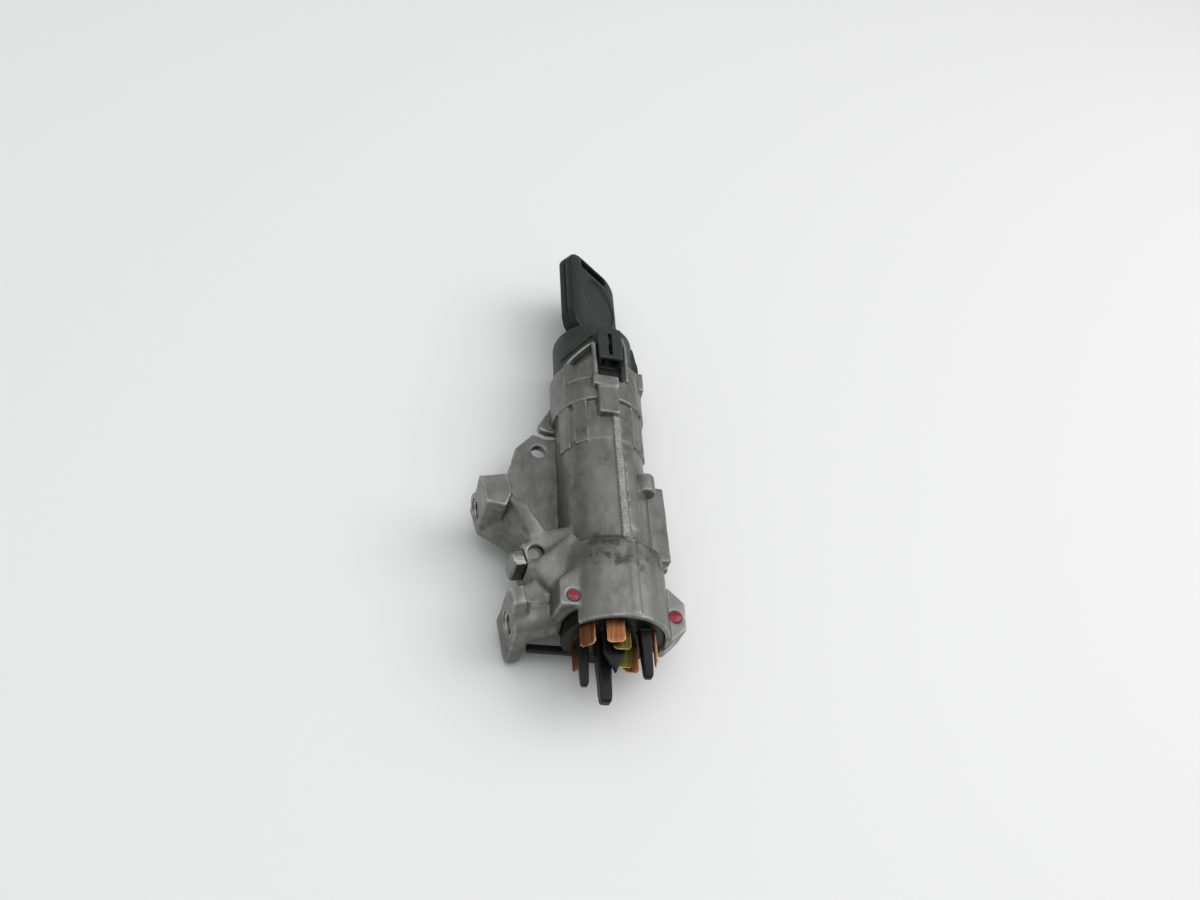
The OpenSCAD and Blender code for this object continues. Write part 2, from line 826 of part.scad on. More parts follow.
module latch_slot() {
    block(latch_x, latch_x + latch_w, latch_y, latch_end, socket_top - 2, socket_top + 1);
}

module pin_bores() {
    for (x = pin_xs)
        translate([x, 0, pin_z])
            disc_y(pin_r + tab_fit, pin_y, pin_y + pin_len + tab_fit);
}

module plug_socket() {
    color([0.2, 0.21, 0.21])
        difference() {
            block(socket_left, socket_right, socket_y, socket_end, socket_low, socket_top);
            block(
                socket_left + socket_wall, socket_right - socket_wall, socket_y - 1,
                socket_end - socket_wall, socket_floor, socket_top - socket_wall
            );
            latch_slot();
            pin_bores();
        }
}

module coil_winding() {
    color([0.72, 0.42, 0.2])
        ring_y(coil_r - 0.1, cap_bore_r + 0.3, coil_y0 + 0.1, coil_y1 - 0.1);
}

module coil_pins() {
    color([0.8, 0.7, 0.4])
        for (x = pin_xs)
            translate([x, 0, pin_z])
                disc_y(pin_r, pin_y, pin_y + pin_len);
}

module peg(x, z, w, tip) {
    outline = [
        [face_y + 1, -w / 2], [face_y + 1, w / 2], [tip + 1, w * 0.36], [tip, w * 0.26],
        [tip, -w * 0.26], [tip + 1, -w * 0.36]
    ];
    translate([x, 0, z])
        intersection() {
            side_profile(-w, w, outline);
            plan(-w, w, [for (p = outline) [p[1], p[0]]]);
        }
}

// Blade terminal with a coined tip
module tab(place, grow, y0, y1) {
    half = tab_w / 2 + grow;
    flat = tab_t / 2 + grow;
    nose = 0.9;
    coin_len = 1.2;
    coin_edge = 0.15;
    translate([place[0], 0, place[1]])
        around(place[2])
            intersection() {
                plan(-flat, flat, [
                    [-half, y1], [half, y1], [half, y0 + nose], [half - nose, y0], [nose - half, y0],
                    [-half, y0 + nose]
                ]);
                side_profile(-tab_w, tab_w, [
                    [y1, -flat], [y1, flat], [y0 + coin_len, flat], [y0, coin_edge], [y0, -coin_edge],
                    [y0 + coin_len, -flat]
                ]);
            }
}

module switch_body() {
    color([0.14, 0.15, 0.15])
        difference() {
            union() {
                difference() {
                    union() {
                        disc_y(switch_r, face_y, switch_end);
                        block(0, right_screw[0] + 2.2, 4.6, right_screw[1] + 3.8, ear_low, ear_high);
                        block(-arm_reach, 0, face_y - 0.4, face_y + 2, arm_low, arm_low + 2.2);
                    }
                    disc_y(cup_r, floor_y, switch_end + 1);
                }
                around(detent_angle)
                    translate([0, detent_y, rotor_r + 0.5])
                        cylinder(r = ball_r + 1, h = cup_r - rotor_r);
                for (p = pegs)
                    peg(p[0], p[1], p[2], p[3]);
                translate([wedge_x, 0, wedge_z])
                    plan(-0.8, 0.8, [
                        [-wedge_w / 2, 1.5], [wedge_w / 2, 1.5], [wedge_w / 2, wedge_tip + 6.5],
                        [0, wedge_tip], [-wedge_w / 2, wedge_tip + 6.5]
                    ]);
            }
            for (place = concat(copper_tabs, brass_tabs))
                tab(place, tab_fit, -2, contact_y + 0.5);
            disc_y(spindle_r + turn_gap, spindle_y - 0.2, floor_y + 1);
            around(detent_angle)
                translate([0, detent_y, rotor_r - 1])
                    cylinder(r = ball_r + turn_gap, h = switch_r - 0.6 - rotor_r + 1);
            translate([right_screw[0], right_screw[1], ear_low - 1])
                cylinder(r = screw_r + 0.1, h = 4);
            translate([left_screw[0], left_screw[1], 4.8])
                cylinder(r = screw_r + 0.15, h = 15);
        }
}

module switch_cover() {
    color([0.35, 0.34, 0.3])
        ring_y(cup_r - 0.1, hub_r + turn_gap, switch_end - cover_t - 0.1, switch_end - 0.1);
}

module switch_rotor() {
    color([0.75, 0.74, 0.68])
        difference() {
            union() {
                disc_y(spindle_r, spindle_y, rotor_y + 1);
                disc_y(rotor_r, rotor_y, rotor_y + rotor_t);
                disc_y(hub_r, rotor_y + 1, switch_end + 0.2);
            }
            around(key_angle)
                drive_bar(tongue_w, tongue_t, y_journal - tongue_len - slide_fit, y_journal + 1, slide_fit);
            for (side = [-1, 1])
                translate([side * bridge_x, 0, 0])
                    disc_y(well_r, rotor_y - 1, rotor_y + well_depth);
            for (a = [detent_angle, detent_angle + 60, detent_angle + 90])
                around(a)
                    translate([0, detent_y, rotor_r + ball_r - 0.3])
                        sphere(r = ball_r + 0.05);
        }
}

module contact_bridges() {
    color([0.72, 0.45, 0.25])
        for (side = [-1, 1])
            translate([side * bridge_x, 0, 0])
                block(
                    -bridge_w / 2, bridge_w / 2, bridge_y, bridge_y + bridge_t,
                    -bridge_len / 2, bridge_len / 2
                );
}

module contact_springs() {
    color([0.75, 0.75, 0.75])
        for (side = [-1, 1])
            translate([side * bridge_x, 0, 0])
                along_y(bridge_y + bridge_t + 0.02)
                    coil(well_r - 0.5, 0.2, 4, rotor_y + well_depth - bridge_y - bridge_t - 0.04, 10);
}

module return_spring() {
    spring_y = rotor_y + rotor_t + 0.1;
    color([0.7, 0.7, 0.7])
        along_y(spring_y)
            coil(hub_r + 1.6, 0.35, 2, switch_end - cover_t - 0.2 - spring_y, 20);
}

module detent_ball() {
    color([0.8, 0.8, 0.8])
        around(detent_angle)
            translate([0, detent_y, rotor_r + ball_r + 0.05])
                sphere(r = ball_r);
}

module detent_spring() {
    spring_z0 = rotor_r + 2 * ball_r + 0.1;
    color([0.75, 0.75, 0.75])
        around(detent_angle)
            translate([0, detent_y, spring_z0])
                coil(ball_r - 0.4, 0.2, 3, switch_r - 0.7 - spring_z0, 10);
}

module copper_terminals() {
    color([0.72, 0.42, 0.26])
        for (place = copper_tabs)
            tab(place, 0, place[3], contact_y);
}

module brass_terminals() {
    color([0.66, 0.56, 0.25])
        for (place = brass_tabs)
            tab(place, 0, place[3], contact_y);
}

module screw(place, low) {
    head_z = place[2] - screw_sink;
    translate([place[0], place[1], low])
        cylinder(r = screw_r, h = head_z + 0.1 - low);
    translate([place[0], place[1], head_z])
        cylinder(r = screw_head_r, h = screw_head_t);
}

module switch_screws() {
    color([0.61, 0.19, 0.25]) {
        screw(right_screw, right_screw_low);
        screw(left_screw, left_screw_low);
    }
}

housing();
lock_bolt();
bolt_slider();
bolt_spring();
spring_seat();
cylinder_sleeve();
sleeve_pin();
cylinder_plug();
wafers();
wafer_springs();
plug_circlip();
cam_shaft();
key_blade();
key_head_front();
key_head_back();
transponder();
reader_cap();
plug_socket();
coil_winding();
coil_pins();
switch_body();
switch_cover();
switch_rotor();
contact_bridges();
contact_springs();
return_spring();
detent_ball();
detent_spring();
copper_terminals();
brass_terminals();
switch_screws();
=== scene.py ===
import json
import math

import bpy
import numpy as np
from mathutils import Matrix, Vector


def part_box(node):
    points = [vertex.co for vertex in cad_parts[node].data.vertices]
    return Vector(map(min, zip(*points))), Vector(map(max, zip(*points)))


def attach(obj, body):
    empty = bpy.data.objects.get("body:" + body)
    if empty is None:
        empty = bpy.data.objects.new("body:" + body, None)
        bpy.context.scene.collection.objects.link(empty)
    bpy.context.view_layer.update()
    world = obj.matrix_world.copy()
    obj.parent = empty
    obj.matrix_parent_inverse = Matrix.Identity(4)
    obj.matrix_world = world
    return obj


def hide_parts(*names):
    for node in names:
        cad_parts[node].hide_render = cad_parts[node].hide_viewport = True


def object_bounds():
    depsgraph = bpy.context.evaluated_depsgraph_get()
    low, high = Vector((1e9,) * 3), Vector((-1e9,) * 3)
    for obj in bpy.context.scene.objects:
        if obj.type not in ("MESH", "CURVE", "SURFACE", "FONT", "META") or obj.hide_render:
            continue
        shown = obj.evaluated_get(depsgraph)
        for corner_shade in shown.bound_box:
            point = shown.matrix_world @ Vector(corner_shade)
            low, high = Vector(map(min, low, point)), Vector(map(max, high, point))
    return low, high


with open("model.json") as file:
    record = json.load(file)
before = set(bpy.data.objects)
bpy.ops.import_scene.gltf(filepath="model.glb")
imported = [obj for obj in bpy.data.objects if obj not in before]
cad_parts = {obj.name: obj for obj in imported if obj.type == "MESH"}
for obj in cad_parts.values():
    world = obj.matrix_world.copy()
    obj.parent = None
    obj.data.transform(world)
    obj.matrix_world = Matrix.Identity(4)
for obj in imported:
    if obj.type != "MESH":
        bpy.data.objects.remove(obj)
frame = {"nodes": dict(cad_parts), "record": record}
cad_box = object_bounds()

# Studio: the lock lies on a pale table under a wide soft window light from behind and the right,
# with a weak fill from the left. The camera looks down at the terminals, as a hand-held one does.
MM = 0.001
CAMERA_AZIMUTH = -21.39
CAMERA_ELEVATION = 48.86
CAMERA_ROLL = 23.29
CAMERA_FOCAL_PX = 950
CAMERA_NEAREST = 10 * MM
IMAGE_WIDTH_PX = 1200
ORIGIN_SEEN = np.array([3.89, -59.26, 291.19]) * MM
SENSOR_WIDTH = 36.0
LOCK_MIDDLE = (0, 60 * MM, 0)
LIGHT_LEVEL = (0.02, 1, 0.01)
ROOM_COLOUR = (0.86, 0.87, 0.88, 1)
ROOM_STRENGTH = (0.2, 0.8)
BACKDROP_STRENGTH = 0.92
TABLE_HALF = 1.6
TABLE_COLOUR = (0.80, 0.805, 0.80, 1)
TABLE_ROUGHNESS = 0.6


def new_object(name, data):
    """A new object at the origin with the given data, put into the scene."""
    obj = bpy.data.objects.new(name, data)
    bpy.context.scene.collection.objects.link(obj)
    return obj


def camera_axes(azimuth, elevation, roll):
    """Right, up and forward of a camera that looks back along its azimuth and elevation and is rolled."""
    a, e, r = np.radians([azimuth, elevation, roll])
    forward = -np.array([np.sin(a) * np.cos(e), -np.cos(a) * np.cos(e), np.sin(e)])
    level = np.cross(forward, [0, 0, 1])
    level = level / np.linalg.norm(level)
    rise = np.cross(level, forward)
    return np.array([level * np.cos(r) + rise * np.sin(r), rise * np.cos(r) - level * np.sin(r), forward])


def soft_light(name, place, size, power, tint):
    """A square area light at place that faces the middle of the lock."""
    light = new_object(name, bpy.data.lights.new(name, "AREA"))
    light.data.size = size
    light.data.energy = power
    light.data.color = tint
    away = np.subtract(place, LOCK_MIDDLE)
    away = away / np.linalg.norm(away)
    side = np.cross(LIGHT_LEVEL, away)
    side = side / np.linalg.norm(side)
    turn = np.eye(4)
    turn[:3] = np.stack([side, np.cross(away, side), away, place], 1)
    light.matrix_world = Matrix(turn)


def feed(tree, socket, value):
    """Links a node's input to another node's output, or sets it to a plain value."""
    if isinstance(value, bpy.types.NodeSocket):
        tree.links.new(value, socket)
    else:
        socket.default_value = value


def add_node(tree, kind, values=(), **settings):
    """Adds a shader node, sets its properties, and feeds the inputs given as (input, value) pairs."""
    node = tree.nodes.new(kind)
    for key, value in settings.items():
        setattr(node, key, value)
    for socket, value in values:
        feed(tree, node.inputs[socket], value)
    return node


def new_material(name):
    """An empty node material, its node tree and its Principled shader."""
    material = bpy.data.materials.new(name)
    material.use_nodes = True
    tree = material.node_tree
    return material, tree, tree.nodes["Principled BSDF"]


def shade(tree, shader, **sockets):
    """Feeds inputs of the Principled shader; a name's underscores stand for blanks."""
    for key, value in sockets.items():
        feed(tree, shader.inputs[key.replace("_", " ")], value)


axes = camera_axes(CAMERA_AZIMUTH, CAMERA_ELEVATION, CAMERA_ROLL)
camera = new_object("camera", bpy.data.cameras.new("camera"))
camera.data.sensor_width = SENSOR_WIDTH
camera.data.lens = SENSOR_WIDTH * CAMERA_FOCAL_PX / IMAGE_WIDTH_PX
camera.data.clip_start = CAMERA_NEAREST
pose = np.eye(4)
pose[:3] = np.stack([axes[0], axes[1], -axes[2], -axes.T @ ORIGIN_SEEN], 1)
camera.matrix_world = Matrix(pose)
bpy.context.scene.camera = camera
soft_light("window", (0.95, 0.25, 1.0), size=1.0, power=8.0, tint=(1.0, 0.99, 0.97))
soft_light("ceiling", (-0.1, 0.1, 1.3), size=1.2, power=5.0, tint=(1.0, 1.0, 1.0))
soft_light("fill", (-0.9, -0.3, 0.8), size=0.9, power=1.0, tint=(0.94, 0.97, 1.0))
world = bpy.data.worlds.new("room")
bpy.context.scene.world = world
world.use_nodes = True
room = world.node_tree
background = room.nodes["Background"]
gaze = add_node(room, "ShaderNodeTexCoord").outputs["Generated"]
upward = add_node(room, "ShaderNodeSeparateXYZ", (("Vector", gaze),)).outputs["Z"]
overhead = add_node(room, "ShaderNodeMapRange", (
    ("Value", upward), ("To Min", ROOM_STRENGTH[0]), ("To Max", ROOM_STRENGTH[1])))
seen = add_node(room, "ShaderNodeLightPath").outputs["Is Camera Ray"]
backdrop = add_node(room, "ShaderNodeMapRange", (
    ("Value", seen), ("To Min", overhead.outputs["Result"]), ("To Max", BACKDROP_STRENGTH)))
feed(room, background.inputs["Color"], ROOM_COLOUR)
feed(room, background.inputs["Strength"], backdrop.outputs["Result"])
bpy.context.scene.view_settings.view_transform = "Standard"
floor_mesh = bpy.data.meshes.new("table_top")
floor_mesh.from_pydata(
    [(TABLE_HALF * x, TABLE_HALF * y, cad_box[0].z) for x, y in ((-1, -1), (1, -1), (1, 1), (-1, 1))],
    [], [(0, 1, 2, 3)])
table_top = new_object("table_top", floor_mesh)
paper, tree, shader = new_material("pale_table")
shade(tree, shader, Base_Color=TABLE_COLOUR, Roughness=TABLE_ROUGHNESS)
table_top.data.materials.append(paper)

# Housing: one zinc pressure die casting with a collar for the switch, a barrel for the key cylinder and a
# bracket that bolts to the steering column. Its edges are soft from the mould, and it is left unpainted.
# The limits of its soft and marked places below are in mm and degrees, in the bolt's or the barrel's frame.
HOUSING_VOXEL = 0.34 * MM
HOUSING_ROUNDS = 60
HOUSING_FACES = 185000
HOUSING_EDGE_REACH = 0.9 * MM
CAD_MERGE = 1e-6
EDGE_SHARE = 0.5
EDGE_BLURS = 2
TILT = math.radians(14.6)
BOLT_LINE_Y = 32.5 * MM
SOFTNESS = 0.04
HUMP_SOFTNESS = 0.4
HUMP_ALONG = (-32.5, -29.5, -15, -11)
HUMP_ACROSS = (-15, -12, 10, 16)
HUMP_UP = (-9, -6)
SNOUT_ALONG = -26.5
SNOUT_RADII = (3.5, 2.5)
SNOUT_CRISPNESS = 0.6
FLANGE_SOFTNESS = 0.3
FLANGE_ALONG = (-31.5, -33)
FLANGE_ACROSS = (-11, -13)
NEAR_HOLE = (-18.1, -2.5)
NEAR_HOLE_RADII = (5.5, 4.5)
SKIN_WAVES = (((0.45, 0.21, 0.37), 0.4), ((-0.62, 0.33, 0.54), 1.9), ((0.28, -0.74, 0.31), 3.1))
SKIN_WAVE_HEIGHT = 0.035
FIELD_HEIGHT = 0.22
FIELD_ANGLE = (17, 19, 34, 36)
FIELD_ALONG = (33, 34, 65.5, 66.5)
FIELD_RADIUS = (14.3, 14.6, 15.5, 15.7)
RING_END = 104.5
EAR_ANGLE = -31
EAR_FOOT = (-7.5, -0.6)
EAR_TIP = (4.4, 7.5)
EAR_RIM = (0.8, 1.5)
EAR_RISE = 4.5
EAR_START = (1.5, 3.5)
EAR_END = 0.7
EAR_LEAN = 0.35
EAR_OUTSIDE = (17.9, 17.5)
EAR_DEPTH = 1.6 * MM
EAR_LOWEST = 16.2
EAR_SHADE_LOWEST = 15.2
EAR_SHADE_POWER = 0.6
THREAD_ROOT = 3.95 * MM
BORE_MARGIN = 1 * MM
STRIP_START = (3.2, 4.2)
STRIP_WIDTH = 16
STRIP_EASE = 2
STRIP_RADIUS = (14.6, 15)
STRIP_ALONG = (26, 28, 78, 79)
OIL_ALONG = (9, 22, 27, 34)
OIL_ANGLE = (-55, -25, 50, 75)
OIL_RADIUS = (14.5, 15)
SCOUR_ALONG = (23, 17)
SCOUR_RADIUS = (15.5, 16)
SCOUR_ANGLE = (-75, -45)
BLOWHOLE = (-15.1 * MM, 37.6 * MM, 0.7 * MM)
BLOWHOLE_RADII = (1.0 * MM, 0.5 * MM)
nodes = frame["nodes"]


def mesh_points(mesh):
    """All vertex places of a mesh as an array of rows."""
    points = np.empty(len(mesh.vertices) * 3, np.float32)
    mesh.vertices.foreach_get("co", points)
    return points.reshape(-1, 3).astype(float)


def mesh_edges(mesh):
    """All edges of a mesh as an array of vertex pairs."""
    pairs = np.empty(len(mesh.edges) * 2, np.int32)
    mesh.edges.foreach_get("vertices", pairs)
    return pairs.reshape(-1, 2)


def mesh_normals(mesh):
    """All vertex normals of a mesh as an array of rows."""
    normals = np.empty(len(mesh.vertices) * 3, np.float32)
    mesh.vertex_normals.foreach_get("vector", normals)
    return normals.reshape(-1, 3).astype(float)


def set_points(mesh, points):
    """Writes vertex places back into a mesh."""
    mesh.vertices.foreach_set("co", points.astype(np.float32).ravel())
    mesh.update()


def store_mark(mesh, label, value):
    """Stores a number for each vertex, which materials read by its label."""
    layer = mesh.attributes.new(label, "FLOAT", "POINT")
    layer.data.foreach_set("value", value.astype(np.float32))


def with_modifier(obj, kind, **settings):
    """Adds one modifier to an object, applies it, and leaves the result as the object's own mesh."""
    modifier = obj.modifiers.new(kind.lower(), kind)
    for key, value in settings.items():
        setattr(modifier, key, value)
    bpy.context.view_layer.update()
    done = bpy.data.meshes.new_from_object(obj.evaluated_get(bpy.context.evaluated_depsgraph_get()))
    obj.modifiers.clear()
    obj.data = done
    return obj


def merged_copy(name, node):
    """A copy of a CAD node without its material, with its loose triangles merged."""
    obj = new_object(name, nodes[node].data.copy())
    obj.data.materials.clear()
    return with_modifier(obj, "WELD", merge_threshold=CAD_MERGE)


def neighbour_mean(points, pairs, count):
    """The mean of each vertex's neighbours along the edges."""
    total = np.empty_like(points)
    for k in range(points.shape[1]):
        total[:, k] = (np.bincount(pairs[:, 0], points[pairs[:, 1], k], count)
                       + np.bincount(pairs[:, 1], points[pairs[:, 0], k], count))
    degree = np.bincount(pairs.ravel(), minlength=count)
    return total / np.maximum(degree, 1)[:, None]


def relax(mesh, rounds, weight):
    """Rounds the edges: in each round a vertex goes the given share of the way to its neighbours' mean."""
    points = mesh_points(mesh)
    pairs = mesh_edges(mesh)
    share = np.broadcast_to(np.asarray(weight, float), (len(points),))[:, None]
    for _ in range(rounds):
        points += share * (neighbour_mean(points, pairs, len(points)) - points)
    set_points(mesh, points)


def softened(name, node, voxel, rounds, weight=lambda points: EDGE_SHARE):
    """A copy of a CAD node cut into even voxels, with its edges rounded where weight says so."""
    obj = merged_copy(name, node)
    with_modifier(obj, "REMESH", mode="VOXEL", voxel_size=voxel)
    relax(obj.data, rounds, weight(mesh_points(obj.data)))
    return obj


def thinned(obj, faces):
    """Joins faces where the surface is flat until about the given number of triangles is left."""
    triangles = 2 * len(obj.data.polygons)
    if triangles > faces:
        with_modifier(obj, "DECIMATE", ratio=faces / triangles)


def mark_edges(obj, reach):
    """Stores how far each vertex stands out as a rounded edge, and how far it lies in a hollow, where
    materials paint shade.

    Both run from 0 to 1. The measure is how fast the normal turns along the edges that meet there,
    per reach of length, blurred over the neighbours.
    """
    mesh = obj.data
    points = mesh_points(mesh)
    normals = mesh_normals(mesh)
    pairs = mesh_edges(mesh)
    step = points[pairs[:, 1]] - points[pairs[:, 0]]
    turn = normals[pairs[:, 1]] - normals[pairs[:, 0]]
    bend = np.sum(step * turn, 1) / np.maximum(np.sum(step * step, 1), 1e-12)
    count = len(points)
    degree = np.maximum(np.bincount(pairs.ravel(), minlength=count), 1)
    curve = (np.bincount(pairs[:, 0], bend, count) + np.bincount(pairs[:, 1], bend, count)) / degree
    for _ in range(EDGE_BLURS):
        curve = 0.5 * curve + 0.5 * neighbour_mean(curve[:, None], pairs, count)[:, 0]
    store_mark(mesh, "edge", np.clip(curve * reach, 0, 1))
    store_mark(mesh, "corner_shade", np.clip(-curve * reach, 0, 1))
    mesh.shade_smooth()


def smooth_step(low, high, value):
    """0 before low, 1 past high, and an even ease between them; low may be the greater."""
    t = np.clip((value - low) / (high - low), 0, 1)
    return t * t * (3 - 2 * t)


def band(value, start, full, last, end):
    """0 outside start and end, 1 from full to last, and an even ease between them."""
    return smooth_step(start, full, value) * smooth_step(end, last, value)


def bolt_frame(points):
    """Places in the lock bolt's own frame, in mm: along its travel, across it, and up."""
    x, y, z = (points - [0, BOLT_LINE_Y, 0]).T / MM
    return x * np.cos(TILT) + y * np.sin(TILT), y * np.cos(TILT) - x * np.sin(TILT), z


def barrel_frame(points):
    """Places around the barrel: along its axis and out from it in mm, and degrees from its top."""
    x, y, z = points.T / MM
    return y, np.hypot(x, z), np.degrees(np.arctan2(x, z))


def housing_softness(points):
    """How fast an edge is rounded: slow on most, fast on the hump around the bolt and on the flange."""
    along, across, up = bolt_frame(points)
    hump = band(along, *HUMP_ALONG) * band(across, *HUMP_ACROSS) * smooth_step(*HUMP_UP, up)
    snout = smooth_step(*SNOUT_RADII, np.hypot(along - SNOUT_ALONG, across))
    flange = smooth_step(*FLANGE_ALONG, along) * smooth_step(*FLANGE_ACROSS, across)
    thread = smooth_step(*NEAR_HOLE_RADII, np.hypot(across - NEAR_HOLE[0], up - NEAR_HOLE[1]))
    hump = HUMP_SOFTNESS * hump * (1 - SNOUT_CRISPNESS * snout)
    return SOFTNESS + hump + FLANGE_SOFTNESS * flange * (1 - thread)


def cast_unevenness(points):
    """Height of the casting's skin: slow waves, as a sum of sines, and a field beside the parting strip."""
    wave = sum(np.sin(points / MM @ np.array(way) + start) for way, start in SKIN_WAVES)
    along, radius, angle = barrel_frame(points)
    field = band(angle, *FIELD_ANGLE) * band(along, *FIELD_ALONG) * band(radius, *FIELD_RADIUS)
    return (SKIN_WAVE_HEIGHT * wave + FIELD_HEIGHT * field) * MM


def ear_hollow(points, lowest):
    """Share of the hollow in the left front ear: a step down behind its raised rim, then an even rise.

    It is measured along the ear's slanted edge and below it, and kept above the lowest radius.
    """
    x, y, z = points.T / MM
    turned = np.radians(EAR_ANGLE)
    side = x * np.cos(turned) - z * np.sin(turned)
    offset = np.stack([side, y - RING_END], 1) - EAR_FOOT
    way = np.subtract(EAR_TIP, EAR_FOOT)
    length = np.linalg.norm(way)
    along = offset @ way / length
    below = offset @ [way[1], -way[0]] / length
    radius = np.hypot(x, z)
    depth = smooth_step(*EAR_RIM, below) * (1 - np.clip((below - EAR_RIM[1]) / EAR_RISE, 0, 1))
    depth = depth * smooth_step(*EAR_START, along)
    depth = depth * smooth_step(length, length - EAR_END, along + EAR_LEAN * below)
    return depth * smooth_step(lowest, lowest + 0.5, radius) * smooth_step(*EAR_OUTSIDE, radius)


def open_bores(points, mouths):
    """Pushes the walls of the column holes out to the root of their threads."""
    for mouth, inward, length in mouths:
        offset = points - mouth
        depth = offset @ inward
        radial = offset - depth[:, None] * inward
        distance = np.linalg.norm(radial, axis=1)
        inside = (depth > -BORE_MARGIN) & (depth < length)
        inside &= (distance < THREAD_ROOT) & (distance > BORE_MARGIN)
        points[inside] += radial[inside] * (THREAD_ROOT / distance[inside] - 1)[:, None]


def mark_skin(mesh):
    """Stores masks, from 0 to 1: rough parting strip, painted shade in the ear hollow, oily stains, scoured
    collar.

    The strip's far side is ragged: two sines along the barrel shift it by a few degrees.
    """
    points = mesh_points(mesh)
    along, radius, angle = barrel_frame(points)
    ragged = STRIP_WIDTH + 1.5 * np.sin(1.3 * along) + np.sin(3.1 * along + 1)
    strip = smooth_step(*STRIP_START, angle) * smooth_step(ragged + STRIP_EASE, ragged, angle)
    strip = strip * smooth_step(*STRIP_RADIUS, radius) * band(along, *STRIP_ALONG)
    oily = band(along, *OIL_ALONG) * band(angle, *OIL_ANGLE) * smooth_step(*OIL_RADIUS, radius)
    scoured = smooth_step(*SCOUR_ALONG, along) * smooth_step(*SCOUR_RADIUS, radius)
    store_mark(mesh, "flash", strip)
    # Painted shade: the ear's hollow is darkened where shade falls in it.
    store_mark(mesh, "hollow_shade", ear_hollow(points, EAR_SHADE_LOWEST) ** EAR_SHADE_POWER)
    store_mark(mesh, "oily", oily)
    store_mark(mesh, "scoured", scoured * smooth_step(*SCOUR_ANGLE, angle))


def effect_group(name, inputs, outputs):
    """An empty shader node group, its input node and its output node; a value in threes is a vector."""
    group = bpy.data.node_groups.new(name, "ShaderNodeTree")
    for label, value in inputs.items():
        kind = "NodeSocketVector" if isinstance(value, tuple) else "NodeSocketFloat"
        group.interface.new_socket(label, in_out="INPUT", socket_type=kind).default_value = value
    for label in outputs:
        group.interface.new_socket(label, in_out="OUTPUT", socket_type="NodeSocketFloat")
    return group, group.nodes.new("NodeGroupInput"), group.nodes.new("NodeGroupOutput")


def object_place(tree):
    """The Object coordinates."""
    return add_node(tree, "ShaderNodeTexCoord").outputs["Object"]


def stored_mark(tree, label):
    """The value of a mark stored on the vertices, or 0 on a mesh without it."""
    return add_node(tree, "ShaderNodeAttribute", attribute_name=label).outputs["Fac"]


def stretched(tree, place, scale):
    """Coordinates scaled along each axis."""
    return add_node(tree, "ShaderNodeMapping", (("Vector", place), ("Scale", scale))).outputs["Vector"]


def math_node(tree, operation, *values):
    """One Math node's result."""
    return add_node(tree, "ShaderNodeMath", enumerate(values), operation=operation).outputs[0]


def times(tree, first, second):
    """The product of two values."""
    return math_node(tree, "MULTIPLY", first, second)


def times_plus(tree, first, second, third):
    """The product of two values, and a third added to it."""
    return math_node(tree, "MULTIPLY_ADD", first, second, third)


def blend_colour(tree, factor, first, second):
    """One Mix node's colour result; its colour sockets are known by their number."""
    node = add_node(tree, "ShaderNodeMix", ((0, factor), (6, first), (7, second)), data_type="RGBA")
    return node.outputs[2]


def noise(tree, place, scale, detail, rough):
    """One Noise Texture's value at a scale in patches per metre."""
    node = add_node(tree, "ShaderNodeTexNoise", (
        ("Vector", place), ("Scale", scale), ("Detail", detail), ("Roughness", rough)))
    return node.outputs["Fac"]


def ramp(tree, value, low, high):
    """A Map Range node that eases a value from 0 at low to 1 at high."""
    node = add_node(tree, "ShaderNodeMapRange", (("Value", value), ("From Min", low), ("From Max", high)),
                    interpolation_type="SMOOTHSTEP")
    return node.outputs["Result"]


def bumped(tree, height, strength, distance):
    """The normal of a surface raised by a height."""
    node = add_node(tree, "ShaderNodeBump", (
        ("Height", height), ("Strength", strength), ("Distance", distance)))
    return node.outputs["Normal"]


def make_edge_wear_sheen_shade():
    """Node group: edges brightened by rubbing and as a painted highlight, and painted shade in hollows,
    from the stored edge and hollow marks, broken up by noise.
    """
    group, inside, outside = effect_group(
        "edge_wear_sheen_shade", {"Sheen_and_wear": 1.0, "Shade_strength": 1.0, "Scale": 300.0}, ("Edge_sheen_and_wear", "Corner_shading"))
    patches = noise(group, object_place(group), inside.outputs["Scale"], detail=5.0, rough=0.55)
    edge = ramp(group, stored_mark(group, "edge"), 0.08, 0.55)
    corner_shade = ramp(group, stored_mark(group, "corner_shade"), 0.05, 0.6)
    worn_and_sheen = times(group, edge, ramp(group, patches, 0.3, 0.6))
    shaded = times(group, corner_shade, ramp(group, patches, 0.75, 0.35))
    feed(group, outside.inputs["Edge_sheen_and_wear"], times(group, worn_and_sheen, inside.outputs["Sheen_and_wear"]))
    feed(group, outside.inputs["Corner_shading"], times(group, shaded, inside.outputs["Shade_strength"]))
    return group


def make_casting_skin():
    """Node group: the clouded skin of a die casting, as a shade, blots for stains, grit and a height."""
    group, inside, outside = effect_group(
        "casting_skin", {"Scale": 1.0}, ("Shade", "Blots", "Grit", "Height"))
    place = object_place(group)
    size = inside.outputs["Scale"]
    drawn = stretched(group, place, (1.0, 0.45, 1.0))
    clouds = noise(group, drawn, times(group, size, 70.0), detail=4.0, rough=0.6)
    mottle = noise(group, drawn, times(group, size, 330.0), detail=5.0, rough=0.65)
    grit = noise(group, place, times(group, size, 2600.0), detail=2.0, rough=0.6)
    blots = noise(group, place, times(group, size, 120.0), detail=6.0, rough=0.7)
    mix = times_plus(group, clouds, 0.55, times(group, mottle, 0.45))
    feed(group, outside.inputs["Shade"], ramp(group, mix, 0.32, 0.66))
    feed(group, outside.inputs["Blots"], blots)
    feed(group, outside.inputs["Grit"], ramp(group, grit, 0.42, 0.58))
    feed(group, outside.inputs["Height"], times_plus(group, grit, 0.5, mottle))
    return group


